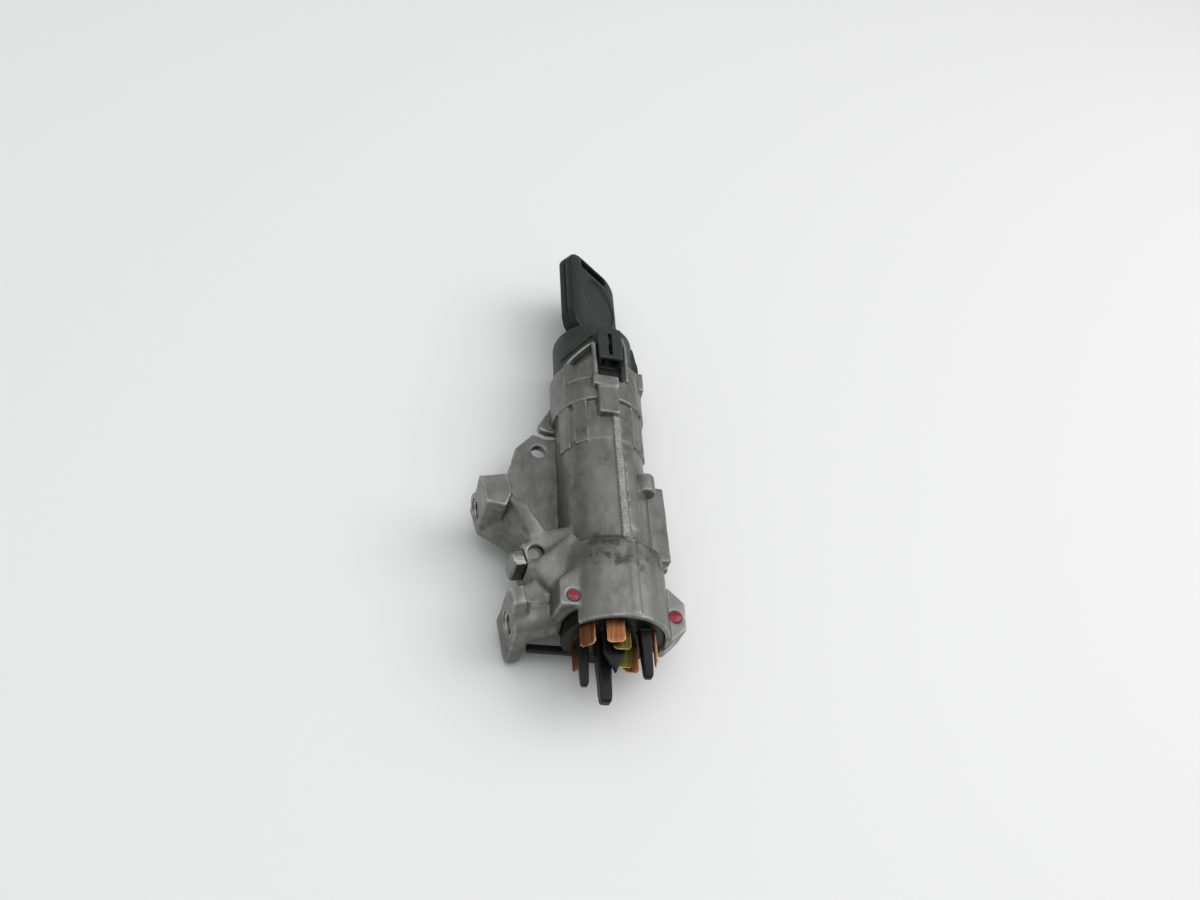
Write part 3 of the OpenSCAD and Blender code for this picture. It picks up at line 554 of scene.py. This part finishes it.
def casting_material(name, dark, light, worn_and_sheen, stain, shade_dark, metallic, rough):
    """Unpainted die casting: clouded between two greys, stained, with painted shade in hollows, and edges
    brightened by rubbing and as a painted highlight.

    Painted shade makes it darkest in the ear's hollow, in one blowhole and along the recess floor's far
    side, and it is gritty along the parting strip.
    """
    material, tree, shader = new_material(name)
    skin = add_node(tree, "ShaderNodeGroup", node_tree=casting_skin)
    wear_and_shading = add_node(tree, "ShaderNodeGroup", (("Sheen_and_wear", 0.5), ("Shade_strength", 0.7)), node_tree=edge_wear_sheen_shade)
    flash = stored_mark(tree, "flash")
    oily = stored_mark(tree, "oily")
    # Painted shade: one blowhole is a dark spot in the colour, not a hole in the mesh.
    gap = add_node(tree, "ShaderNodeVectorMath", ((0, object_place(tree)), (1, BLOWHOLE)),
                   operation="DISTANCE")
    blowhole = ramp(tree, gap.outputs["Value"], *BLOWHOLE_RADII)
    hollow_shade = math_node(tree, "MAXIMUM", stored_mark(tree, "hollow_shade"), blowhole)
    lifted = times_plus(tree, stored_mark(tree, "scoured"), 0.45, skin.outputs["Shade"])
    colour = blend_colour(tree, lifted, dark, light)
    patchy = times_plus(tree, oily, 0.12, skin.outputs["Blots"])
    stained = times(tree, ramp(tree, patchy, 0.56, 0.70), times_plus(tree, oily, 0.5, 0.45))
    colour = blend_colour(tree, stained, colour, stain)
    gritty = times(tree, flash, skin.outputs["Grit"])
    colour = blend_colour(tree, times(tree, gritty, 0.75), colour, worn_and_sheen)
    # Painted shade: hollows and corners are blended toward the darkest grey.
    colour = blend_colour(tree, math_node(tree, "MAXIMUM", wear_and_shading.outputs["Corner_shading"], hollow_shade), colour, shade_dark)
    colour = blend_colour(tree, wear_and_shading.outputs["Edge_sheen_and_wear"], colour, worn_and_sheen)
    roughness = times_plus(tree, skin.outputs["Shade"], -0.14, rough)
    height = times(tree, skin.outputs["Height"], times_plus(tree, flash, 4.0, 1.0))
    normal = bumped(tree, height, strength=0.35, distance=0.12 * MM)
    shade(tree, shader, Base_Color=colour, Roughness=roughness, Metallic=metallic, Normal=normal)
    return material


column_holes = [
    (np.array(m["pos_m"]), -np.array(m["axis"]), m["dims"]["length_mm"] * MM)
    for m in frame["record"]["mounts"] if m["kind"] == "threaded_hole"]
cast_housing = softened("cast_housing", "housing", HOUSING_VOXEL, HOUSING_ROUNDS, housing_softness)
places = mesh_points(cast_housing.data)
places += mesh_normals(cast_housing.data) * cast_unevenness(places)[:, None]
barrel_radius = np.hypot(places[:, 0], places[:, 2])
hollow = EAR_DEPTH * ear_hollow(places, EAR_LOWEST)
places[:, [0, 2]] *= (1 - hollow / np.maximum(barrel_radius, MM))[:, None]
open_bores(places, column_holes)
set_points(cast_housing.data, np.clip(places, *(np.array(c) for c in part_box("housing"))))
thinned(cast_housing, HOUSING_FACES)
mark_edges(cast_housing, HOUSING_EDGE_REACH)
mark_skin(cast_housing.data)
edge_wear_sheen_shade = make_edge_wear_sheen_shade()
casting_skin = make_casting_skin()
# Its darkest grey is painted shade in hollows; its palest marks edges worn by rubbing and is also a painted
# highlight on them.
cast_zinc = casting_material(
    "cast_zinc", dark=(0.105, 0.105, 0.097, 1), light=(0.215, 0.215, 0.2, 1), worn_and_sheen=(0.46, 0.46, 0.43, 1),
    stain=(0.04725, 0.04725, 0.04365, 1), shade_dark=(0.02, 0.02, 0.019, 1), metallic=0.55, rough=0.5)
cast_housing.data.materials.append(cast_zinc)
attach(cast_housing, "lock_housing")
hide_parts("housing")

# Snout recess: a shallow round recess in the casting beside the lock bolt, left by a core of the mould.
# Its floor is part of the casting and clears the bolt that slides below it. Painted shade darkens the floor
# along its far side.
RECESS_CENTRE = (-24.87 * MM, 26.43 * MM)
RECESS_RADIUS = 2.6 * MM
RECESS_CLEARANCE = 0.12 * MM
RECESS_THICKNESS = 0.08 * MM
RECESS_RINGS = 16
RECESS_SPOKES = 48
RECESS_LIT_CENTRE = np.add(RECESS_CENTRE, (-0.8 * MM, -0.6 * MM))
RECESS_LIT_RADII = (1.6 * MM, 2.4 * MM)
RECESS_SHADE = 0.7
GRID_MERGE = 1e-7


def closed_surface(name, grid, close_rows=False):
    """A mesh over a grid of points that closes along its columns, and along its rows too if asked.

    Its faces are turned outward, away from the mean of its points.
    """
    rows, columns = grid.shape[:2]
    index = np.arange(rows * columns).reshape(rows, columns)
    below = np.roll(index, -1, 0) if close_rows else index[1:]
    above = index if close_rows else index[:-1]
    quads = np.stack([above, np.roll(above, -1, 1), np.roll(below, -1, 1), below], -1).reshape(-1, 4)
    points = grid.reshape(-1, 3)
    a, b, c, d = (points[quads[:, k]] for k in range(4))
    if np.sum(np.cross(c - a, d - b) * (a + b + c + d - 4 * points.mean(0))) < 0:
        quads = quads[:, ::-1]
    mesh = bpy.data.meshes.new(name)
    mesh.from_pydata(points.tolist(), [], quads.tolist())
    obj = with_modifier(new_object(name, mesh), "WELD", merge_threshold=GRID_MERGE)
    obj.data.shade_smooth()
    return obj


def disc(name, centre, radius, low, thickness):
    """A thin flat disc: rings of points grow from its middle over the upper face and shrink again below."""
    share = np.concatenate([np.linspace(0, 1, RECESS_RINGS), [1, 0]])
    turn = np.linspace(0, 2 * np.pi, RECESS_SPOKES, endpoint=False)
    height = np.full(len(share), low + thickness)
    height[-2:] = low
    x = centre[0] + radius * share[:, None] * np.cos(turn)
    y = centre[1] + radius * share[:, None] * np.sin(turn)
    return closed_surface(name, np.stack([x, y, np.broadcast_to(height[:, None], x.shape)], -1))


recess_floor = disc("recess_floor", RECESS_CENTRE, RECESS_RADIUS,
                    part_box("lock_bolt")[1].z + RECESS_CLEARANCE, RECESS_THICKNESS)
# Painted shade: the floor darkens away from a centre shifted toward -x and -y, as if its far wall shaded
# it.
off_lit = np.linalg.norm(mesh_points(recess_floor.data)[:, :2] - RECESS_LIT_CENTRE, axis=1)
store_mark(recess_floor.data, "hollow_shade", RECESS_SHADE * smooth_step(*RECESS_LIT_RADII, off_lit))
recess_floor.data.materials.append(cast_zinc)
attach(recess_floor, "lock_housing")

# Column threads: M8 threads cut into the two bosses after casting, so their flanks are bare bright metal.
# Each is a sleeve whose outer wall is buried in the boss.
THREAD_PITCH = 1.25 * MM
THREAD_CREST = 3.4 * MM
THREAD_STEPS = 10
THREAD_SPOKES = 56
THREAD_SHORTER = 0.2 * MM
THREAD_LEAD = 1.4 * MM
THREAD_BURIED = 0.15 * MM


def thread_sleeve(name, mouth, inward, length):
    """A sleeve whose inner radius follows a three-cornered wave of depth over pitch minus turn.

    The wave's crests and roots are cut flat, and it opens out to the root at the mouth.
    The outer wall is plain.
    """
    depth = np.arange(0, length - THREAD_SHORTER, THREAD_PITCH / THREAD_STEPS)
    turn = np.linspace(0, 2 * np.pi, THREAD_SPOKES, endpoint=False)
    phase = depth[:, None] / THREAD_PITCH - turn[None, :] / (2 * np.pi)
    wave = np.clip(1.35 * np.abs(2 * (phase % 1) - 1) - 0.15, 0, 1)
    lead = smooth_step(THREAD_LEAD, 0, depth)[:, None]
    inner = THREAD_CREST + (THREAD_ROOT - THREAD_CREST) * np.maximum(wave, lead)
    outer = np.full((2, len(turn)), THREAD_ROOT + THREAD_BURIED)
    radius = np.concatenate([inner, outer])
    along = np.concatenate([depth, depth[[-1, 0]]])[:, None]
    side = np.cross(inward, [0, 0, 1])
    spoke = np.cos(turn)[:, None] * side + np.sin(turn)[:, None] * np.cross(inward, side)
    grid = mouth + along[..., None] * inward + radius[..., None] * spoke[None]
    return closed_surface(name, grid, close_rows=True)


def make_brushed_streaks():
    """Node group: fine parallel streaks, as noise drawn out along one way, and the clouds of handling."""
    group, inside, outside = effect_group(
        "brushed_streaks", {"Stretch": (1.0, 1.0, 1.0), "Scale": 1500.0}, ("Streak", "Cloud"))
    place = object_place(group)
    drawn = stretched(group, place, inside.outputs["Stretch"])
    streak = noise(group, drawn, inside.outputs["Scale"], detail=3.0, rough=0.6)
    cloud = noise(group, place, 160.0, detail=4.0, rough=0.6)
    feed(group, outside.inputs["Streak"], ramp(group, streak, 0.28, 0.72))
    feed(group, outside.inputs["Cloud"], ramp(group, cloud, 0.3, 0.7))
    return group


def metal_material(name, dark, light, worn_and_sheen, stretch, rough, wear_sheen_share=0.7):
    """Bare worked metal: streaked between two tones, clouded with handling, brighter on edges from rubbing
    and as a painted highlight.
    """
    material, tree, shader = new_material(name)
    brush = add_node(tree, "ShaderNodeGroup", (("Stretch", stretch),), node_tree=brushed_streaks)
    wear_and_shading = add_node(tree, "ShaderNodeGroup", (("Sheen_and_wear", wear_sheen_share),), node_tree=edge_wear_sheen_shade)
    cloud = brush.outputs["Cloud"]
    tone = times_plus(tree, brush.outputs["Streak"], 0.6, times(tree, cloud, 0.4))
    colour = blend_colour(tree, tone, dark, light)
    colour = blend_colour(tree, wear_and_shading.outputs["Edge_sheen_and_wear"], colour, worn_and_sheen)
    roughness = times_plus(tree, cloud, 0.16, rough)
    normal = bumped(tree, brush.outputs["Streak"], strength=0.25, distance=0.03 * MM)
    shade(tree, shader, Base_Color=colour, Roughness=roughness, Metallic=1.0, Normal=normal)
    return material


brushed_streaks = make_brushed_streaks()
cut_zinc = metal_material(
    "cut_zinc", dark=(0.25, 0.25, 0.24, 1), light=(0.5, 0.5, 0.48, 1), worn_and_sheen=(0.62, 0.62, 0.6, 1),
    stretch=(1.0, 1.0, 1.0), rough=0.32)
for number, (mouth, inward, length) in enumerate(column_holes):
    thread = thread_sleeve(f"column_thread_{number}", mouth, inward, length)
    thread.data.materials.append(cut_zinc)
    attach(thread, "lock_housing")

# Lock bolt: a hardened steel bar with ground faces that shoots out of the bracket into the steering column.
# A slider behind it, a small coil spring and a pressed-in seat keep it pushed outward.
BOLT_BEVEL = 0.9 * MM
BOLT_BEVEL_STEPS = 4
SHARP_ANGLE = math.radians(25)


def dress(material, *names):
    """Gives CAD nodes that stay as they are their material."""
    for name in names:
        nodes[name].data.materials.clear()
        nodes[name].data.materials.append(material)


ground_steel = metal_material(
    "ground_steel", dark=(0.12, 0.12, 0.11, 1), light=(0.3, 0.295, 0.27, 1), worn_and_sheen=(0.6, 0.59, 0.55, 1),
    stretch=(0.08, 1.0, 1.0), rough=0.12)
drawn_wire = metal_material(
    "drawn_wire", dark=(0.22, 0.22, 0.22, 1), light=(0.5, 0.5, 0.5, 1), worn_and_sheen=(0.6, 0.6, 0.6, 1),
    stretch=(1.0, 1.0, 0.2), rough=0.3)
lock_bolt = with_modifier(
    merged_copy("ground_bolt", "lock_bolt"), "BEVEL", width=BOLT_BEVEL, segments=BOLT_BEVEL_STEPS,
    limit_method="ANGLE", angle_limit=SHARP_ANGLE)
lock_bolt.data.shade_smooth()
lock_bolt.data.materials.append(ground_steel)
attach(lock_bolt, "bolt")
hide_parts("lock_bolt")
dress(ground_steel, "bolt_slider")
dress(drawn_wire, "bolt_spring")
dress(cast_zinc, "spring_seat")

# Key cylinder: a turned brass plug with stamped brass wafers on small springs, in a cast sleeve. A cross
# pin holds the sleeve, a circlip the plug, and a cast shaft behind it turns the switch. It is hidden
# behind the cap and the key.
turned_brass = metal_material(
    "turned_brass", dark=(0.36, 0.25, 0.08, 1), light=(0.62, 0.47, 0.17, 1), worn_and_sheen=(0.75, 0.62, 0.3, 1),
    stretch=(1.0, 0.1, 1.0), rough=0.26)
dress(turned_brass, "cylinder_plug", "wafers")
dress(cast_zinc, "cylinder_sleeve", "cam_shaft")
dress(ground_steel, "sleeve_pin")
dress(drawn_wire, "wafer_springs", "plug_circlip")

# Electrical switch: a black moulded body with guide pegs, screwed into the collar, over a rotor with
# sprung contacts. Seven blades come out of it, five of copper and two of brass, stamped from strip with
# coined tips.
SWITCH_VOXEL = 0.24 * MM
SWITCH_ROUNDS = 4
SWITCH_FACES = 110000
SWITCH_EDGE_REACH = 0.35 * MM
BLADE_VOXEL = 0.15 * MM
BLADE_ROUNDS = 3
BLADE_EDGE_REACH = 0.2 * MM
BLADE_TIP_FACING = (0.2, 0.5)
# The black of the painted shade in the hollows of moulded plastic.
CORNER_BLACK = (0.002, 0.002, 0.002, 1)


def make_plastic_grain():
    """Node group: the eroded grain of a mould as a height, dull scuffs and fine dust as masks."""
    group, inside, outside = effect_group("plastic_grain", {"Scale": 1.0}, ("Height", "Scuff", "Dust"))
    place = object_place(group)
    size = inside.outputs["Scale"]
    drawn = stretched(group, place, (1.0, 0.25, 0.6))
    grain = noise(group, place, times(group, size, 3500.0), detail=2.0, rough=0.5)
    scuff = noise(group, drawn, times(group, size, 420.0), detail=5.0, rough=0.7)
    dust = noise(group, place, times(group, size, 140.0), detail=6.0, rough=0.72)
    feed(group, outside.inputs["Height"], grain)
    feed(group, outside.inputs["Scuff"], ramp(group, scuff, 0.5, 0.72))
    feed(group, outside.inputs["Dust"], ramp(group, dust, 0.48, 0.75))
    return group


def plastic_material(name, colour, pale, rough, grain, gloss=0.35):
    """Moulded plastic: grained, dusted and scuffed towards a paler tone, most of all on its edges, where
    the paler tone is also a painted highlight; painted shade darkens its hollows.
    """
    material, tree, shader = new_material(name)
    skin = add_node(tree, "ShaderNodeGroup", node_tree=plastic_grain)
    wear_and_shading = add_node(tree, "ShaderNodeGroup", (("Sheen_and_wear", 0.5), ("Shade_strength", 0.8)), node_tree=edge_wear_sheen_shade)
    scuff = skin.outputs["Scuff"]
    tone = blend_colour(tree, times(tree, skin.outputs["Dust"], 0.35), colour, pale)
    tone = blend_colour(tree, times(tree, scuff, 0.22), tone, pale)
    tone = blend_colour(tree, wear_and_shading.outputs["Edge_sheen_and_wear"], tone, pale)
    tone = blend_colour(tree, wear_and_shading.outputs["Corner_shading"], tone, CORNER_BLACK)
    roughness = times_plus(tree, scuff, 0.14, rough)
    normal = bumped(tree, skin.outputs["Height"], strength=grain, distance=0.04 * MM)
    shade(tree, shader, Base_Color=tone, Roughness=roughness, Specular_IOR_Level=gloss, Normal=normal)
    return material


def raise_mark(mesh, label, value):
    """Raises a stored mark to at least the given value at each vertex."""
    layer = mesh.attributes[label]
    kept = np.empty(len(value), np.float32)
    layer.data.foreach_get("value", kept)
    layer.data.foreach_set("value", np.maximum(kept, value).astype(np.float32))


def blade_terminals(name, node, material):
    """All blades of one metal, with rounded edges, and with a painted highlight on their coined tips,
    stored in the edge mark.
    """
    obj = softened(name, node, BLADE_VOXEL, BLADE_ROUNDS)
    mark_edges(obj, BLADE_EDGE_REACH)
    # Painted highlight: the coined tips that face toward -y get the bright edge colour.
    raise_mark(obj.data, "edge", smooth_step(*BLADE_TIP_FACING, -mesh_normals(obj.data)[:, 1]))
    obj.data.materials.append(material)
    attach(obj, "lock_housing")
    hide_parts(node)


plastic_grain = make_plastic_grain()
black_moulding = plastic_material(
    "black_moulding", colour=(0.004, 0.0044, 0.0044, 1), pale=(0.022, 0.023, 0.0235, 1),
    rough=0.36, grain=0.25, gloss=0.22)
pale_moulding = plastic_material(
    "pale_moulding", colour=(0.5, 0.48, 0.41, 1), pale=(0.62, 0.6, 0.53, 1), rough=0.42, grain=0.2)
grey_moulding = plastic_material(
    "grey_moulding", colour=(0.1, 0.1, 0.085, 1), pale=(0.18, 0.18, 0.16, 1), rough=0.45, grain=0.25)
stamped_copper = metal_material(
    "stamped_copper", dark=(0.1, 0.038, 0.015, 1), light=(0.44, 0.18, 0.08, 1),
    worn_and_sheen=(0.85, 0.45, 0.24, 1), stretch=(1.0, 0.05, 1.0), rough=0.34, wear_sheen_share=1.0)
# Painted reflection: the brass's two tones are kept dark to stand in for the dark surroundings its flat
# blades reflect.
stamped_brass = metal_material(
    "stamped_brass", dark=(0.03, 0.024, 0.005, 1), light=(0.12, 0.098, 0.026, 1),
    worn_and_sheen=(0.6, 0.52, 0.14, 1), stretch=(1.0, 0.05, 1.0), rough=0.34, wear_sheen_share=1.0)
switch_moulding = softened("switch_moulding", "switch_body", SWITCH_VOXEL, SWITCH_ROUNDS)
thinned(switch_moulding, SWITCH_FACES)
mark_edges(switch_moulding, SWITCH_EDGE_REACH)
switch_moulding.data.materials.append(black_moulding)
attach(switch_moulding, "lock_housing")
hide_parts("switch_body")
blade_terminals("copper_blades", "copper_terminals", stamped_copper)
blade_terminals("brass_blades", "brass_terminals", stamped_brass)
dress(grey_moulding, "switch_cover")
dress(pale_moulding, "switch_rotor")
dress(stamped_copper, "contact_bridges")
dress(drawn_wire, "contact_springs", "return_spring", "detent_spring")
dress(ground_steel, "detent_ball")

# Switch screws: two small plated steel screws hold the switch in the collar. Each head is sealed with
# a drop of glossy red paint that has run out unevenly.
DROP_RINGS = 14
DROP_SPOKES = 40
DROP_RADII = (2.1 * MM, 1.7 * MM)
DROP_HEIGHT = 0.4 * MM
DROP_SUNK = 0.1 * MM
DROP_STARTS = (0.7, 2.7)
DROP_UNDERSIDE = -0.2
DROP_FALL = 2.6


def paint_drop(name, centre, radius, height, start):
    """A drop whose edge wavers with the angle and whose height falls off with a power of the radius.

    A flat underside closes it, and a slow sine tips its upper face a little.
    """
    turn = np.linspace(0, 2 * np.pi, DROP_SPOKES, endpoint=False)
    reach = radius * (1 + 0.07 * np.sin(2 * turn + start) + 0.05 * np.sin(3 * turn + 2 * start))
    rings = np.linspace(0, 1, DROP_RINGS)
    share = np.concatenate([rings, [0.9, 0.0]])
    rise = height * np.concatenate([1 - rings ** DROP_FALL, [DROP_UNDERSIDE, DROP_UNDERSIDE]])
    ripple = 0.12 * height * np.sin(turn + start)[None, :] * (share * (1 - share))[:, None]
    x = centre[0] + share[:, None] * reach * np.cos(turn)
    y = centre[1] + share[:, None] * reach * np.sin(turn)
    z = centre[2] + rise[:, None] + ripple
    return closed_surface(name, np.stack([x, y, z], -1))


red_seal, tree, shader = new_material("red_seal")
skin = add_node(tree, "ShaderNodeGroup", (("Scale", 2.5),), node_tree=plastic_grain)
colour = blend_colour(tree, skin.outputs["Dust"], (0.3, 0.006, 0.022, 1), (0.15, 0.004, 0.012, 1))
roughness = times_plus(tree, skin.outputs["Scuff"], 0.2, 0.22)
shade(tree, shader, Base_Color=colour, Roughness=roughness, Specular_IOR_Level=0.4)
plated_steel = metal_material(
    "plated_steel", dark=(0.05, 0.05, 0.048, 1), light=(0.12, 0.12, 0.115, 1), worn_and_sheen=(0.2, 0.2, 0.19, 1),
    stretch=(1.0, 1.0, 1.0), rough=0.35)
dress(plated_steel, "switch_screws")
screw_points = mesh_points(nodes["switch_screws"].data)
for number, side in enumerate((screw_points[:, 0] > 0, screw_points[:, 0] < 0)):
    head = screw_points[side]
    low = head[:, 2].max() - DROP_SUNK
    crown = head[head[:, 2] > low, :2]
    centre = np.append((crown.min(0) + crown.max(0)) / 2, low)
    drop = paint_drop(f"paint_drop_{number}", centre, DROP_RADII[number], DROP_HEIGHT, DROP_STARTS[number])
    drop.data.materials.append(red_seal)
    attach(drop, "lock_housing")

# Reader cap: a black moulded cap over the key cylinder with the reader's copper coil inside, pushed into
# the front ring between its ears. A small plug socket on top has two plated pins and a slot for a latch.
# A narrow slit runs beside the left ear, darkened with painted shade; its limits are in mm around the cap.
CAP_VOXEL = 0.22 * MM
CAP_ROUNDS = 6
CAP_RADIUS = 15.1
CAP_EDGE_REACH = 0.4 * MM
SOCKET_VOXEL = 0.16 * MM
SOCKET_ROUNDS = 3
SLIT_CURVE = (0.0377, 0.708, 8.8)
SLIT_ENDS = (-10.0, -9.0, 3.6, 4.6)
SLIT_HALF = (0.8, 0.5)
SLIT_DEPTH = 0.9
SLIT_LOWEST = CAP_RADIUS - 0.5
SLIT_SHADE_LOWEST = CAP_RADIUS - 2
LATCH_MIDDLE = 1.15 * MM
LATCH_HALF = 0.45 * MM
LATCH_REACH = 1.8 * MM
LATCH_WIDENING = 0.26 * MM
LATCH_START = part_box("plug_socket")[0].y + 1.8 * MM
LATCH_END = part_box("plug_socket")[1].y + 2.6 * MM
LATCH_EASE = 0.6 * MM
LATCH_LOWEST = (16.6 * MM, 17.2 * MM)


def slit_share(points, lowest):
    """Share of the slit that follows a parabola over the cap's arc beside the left ear, above a radius."""
    along, radius, angle = barrel_frame(points)
    arc = np.radians(angle - EAR_ANGLE) * CAP_RADIUS
    bow, lean, rise = SLIT_CURVE
    steep = np.hypot(1, lean + 2 * bow * arc)
    aside = np.abs(along - RING_END - rise - lean * arc - bow * arc ** 2) / steep
    share = smooth_step(*SLIT_HALF, aside) * smooth_step(lowest, lowest + 0.3, radius)
    return share * band(arc, *SLIT_ENDS)


def widened_latch(points):
    """Pushes the latch slot's walls apart, by a share that fades with the distance from the slot."""
    x, y, z = points.T
    aside = np.abs(x - LATCH_MIDDLE)
    share = np.minimum(aside / LATCH_HALF, 1) * smooth_step(LATCH_REACH, LATCH_HALF, aside)
    share = share * band(y, LATCH_START - LATCH_EASE, LATCH_START, LATCH_END, LATCH_END + LATCH_EASE)
    share = share * smooth_step(*LATCH_LOWEST, z)
    return points + np.outer(np.sign(x - LATCH_MIDDLE) * LATCH_WIDENING * share, [1, 0, 0])


cap_moulding = softened("cap_moulding", "reader_cap", CAP_VOXEL, CAP_ROUNDS)
skin_points = mesh_points(cap_moulding.data)
shrink = SLIT_DEPTH * slit_share(skin_points, SLIT_LOWEST) / CAP_RADIUS
skin_points[:, [0, 2]] *= (1 - shrink)[:, None]
set_points(cap_moulding.data, widened_latch(skin_points))
thinned(cap_moulding, SWITCH_FACES)
socket_moulding = softened("socket_moulding", "plug_socket", SOCKET_VOXEL, SOCKET_ROUNDS)
set_points(socket_moulding.data, widened_latch(mesh_points(socket_moulding.data)))
cap_black = plastic_material(
    "cap_black", colour=(0.022, 0.0235, 0.023, 1), pale=(0.07, 0.073, 0.072, 1), rough=0.48, grain=0.5)
for moulding, node in ((cap_moulding, "reader_cap"), (socket_moulding, "plug_socket")):
    mark_edges(moulding, CAP_EDGE_REACH)
    moulding.data.materials.append(cap_black)
    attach(moulding, "lock_housing")
    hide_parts(node)
# Painted shade along the slit beside the ear.
raise_mark(cap_moulding.data, "corner_shade", slit_share(mesh_points(cap_moulding.data), SLIT_SHADE_LOWEST))
enamelled = metal_material(
    "enamelled_wire", dark=(0.4, 0.13, 0.05, 1), light=(0.6, 0.24, 0.1, 1), worn_and_sheen=(0.6, 0.3, 0.15, 1),
    stretch=(0.3, 6.0, 0.3), rough=0.3)
dress(enamelled, "coil_winding")
dress(plated_steel, "coil_pins")

# Key: a milled steel blade in a two-part moulded head, fine-grained black, with a thumb oval on each
# side, a slot for the key ring at the end and the reader's chip glued in between the halves.
KEY_TURN = math.radians(36)
KEY_VOXEL = 0.2 * MM
KEY_ROUNDS = 24
KEY_FACES = 60000
KEY_EDGE_REACH = 0.4 * MM
KEY_BASE_Y = float(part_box("key_head_front")[0].y)
KEY_HALF_WIDTH = 14 * MM
KEY_LENGTH = 44 * MM
KEY_CORNER = 7 * MM
KEY_HALF_THICKNESS = 3.6 * MM
KEY_EDGE = 5.5 * MM
KEY_RIM_SHARE = 0.74
KEY_CROWN_SHARE = 0.32
KEY_CROWN_POWER = 2.4
KEY_FACE = (0.75, 0.95)
SEAM_SOFTNESS = 0.06
FACE_SOFTNESS = 0.44
SOFT_PAST_SEAM = (0.3 * MM, 1.6 * MM)
GROOVE_DEPTH = 1.4 * MM
GROOVE_HALF = (0.6 * MM, 0.35 * MM)
OVAL_CENTRE = (2.2 * MM, 23.8 * MM)
OVAL_RADII = (9.6 * MM, 11.2 * MM)
OVAL_EDGE = (1.04, 0.97)
OVAL_DEPTH = 0.6 * MM


def key_frame(points):
    """Places in the key's own frame: across the head, from its base to its end, and out of the seam."""
    x, y, z = points.T
    across = x * np.cos(KEY_TURN) - z * np.sin(KEY_TURN)
    out = x * np.sin(KEY_TURN) + z * np.cos(KEY_TURN)
    return across, y - KEY_BASE_Y, out


def key_softness(points):
    """Edges round off faster the farther they are from the seam between the halves."""
    return SEAM_SOFTNESS + FACE_SOFTNESS * smooth_step(*SOFT_PAST_SEAM, np.abs(key_frame(points)[2]))


def key_half(name, node):
    """One half of the head: its thickness follows a rounded power curve of the distance from its outline.

    A thumb oval is sunk into it, and its wall steps in at the seam, so that a dark groove shows there.
    """
    obj = softened(name, node, KEY_VOXEL, KEY_ROUNDS, key_softness)
    points = mesh_points(obj.data)
    across, along, out = key_frame(points)
    aside = np.abs(across) - KEY_HALF_WIDTH
    beyond = np.abs(along - KEY_LENGTH / 2) - KEY_LENGTH / 2
    past = np.stack([aside, beyond], 1) + KEY_CORNER
    inside = KEY_CORNER - np.linalg.norm(np.maximum(past, 0), axis=1) - np.minimum(past.max(1), 0)
    near_edge = (1 - np.clip(inside / KEY_EDGE, 0, 1)) ** KEY_CROWN_POWER
    crown = KEY_RIM_SHARE + KEY_CROWN_SHARE * np.sqrt(1 - near_edge)
    oval = ((across - OVAL_CENTRE[0]) / OVAL_RADII[0]) ** 2
    oval = oval + ((along - OVAL_CENTRE[1]) / OVAL_RADII[1]) ** 2
    face = smooth_step(*KEY_FACE, np.abs(out) / KEY_HALF_THICKNESS)
    sunk = OVAL_DEPTH * face * smooth_step(*OVAL_EDGE, oval)
    shift = out * (crown - 1) - np.sign(out) * sunk
    normals = mesh_normals(obj.data)
    groove = GROOVE_DEPTH * smooth_step(*GROOVE_HALF, np.abs(out))
    points -= normals * (groove * (1 - np.abs(key_frame(normals)[2])))[:, None]
    points[:, 0] += shift * np.sin(KEY_TURN)
    points[:, 2] += shift * np.cos(KEY_TURN)
    set_points(obj.data, points)
    thinned(obj, KEY_FACES)
    mark_edges(obj, KEY_EDGE_REACH)
    obj.data.materials.append(key_black)
    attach(obj, "key")
    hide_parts(node)


key_black = plastic_material(
    "key_black", colour=(0.008, 0.009, 0.009, 1), pale=(0.032, 0.034, 0.034, 1), rough=0.46, grain=0.6)
chip_gloss = plastic_material(
    "chip_gloss", colour=(0.012, 0.012, 0.012, 1), pale=(0.04, 0.04, 0.04, 1), rough=0.15, grain=0.05)
milled_steel = metal_material(
    "milled_steel", dark=(0.32, 0.32, 0.3, 1), light=(0.55, 0.55, 0.53, 1), worn_and_sheen=(0.7, 0.7, 0.68, 1),
    stretch=(1.0, 0.05, 1.0), rough=0.24)
key_half("key_front_half", "key_head_front")
key_half("key_back_half", "key_head_back")
dress(chip_gloss, "transponder")
dress(milled_steel, "key_blade")
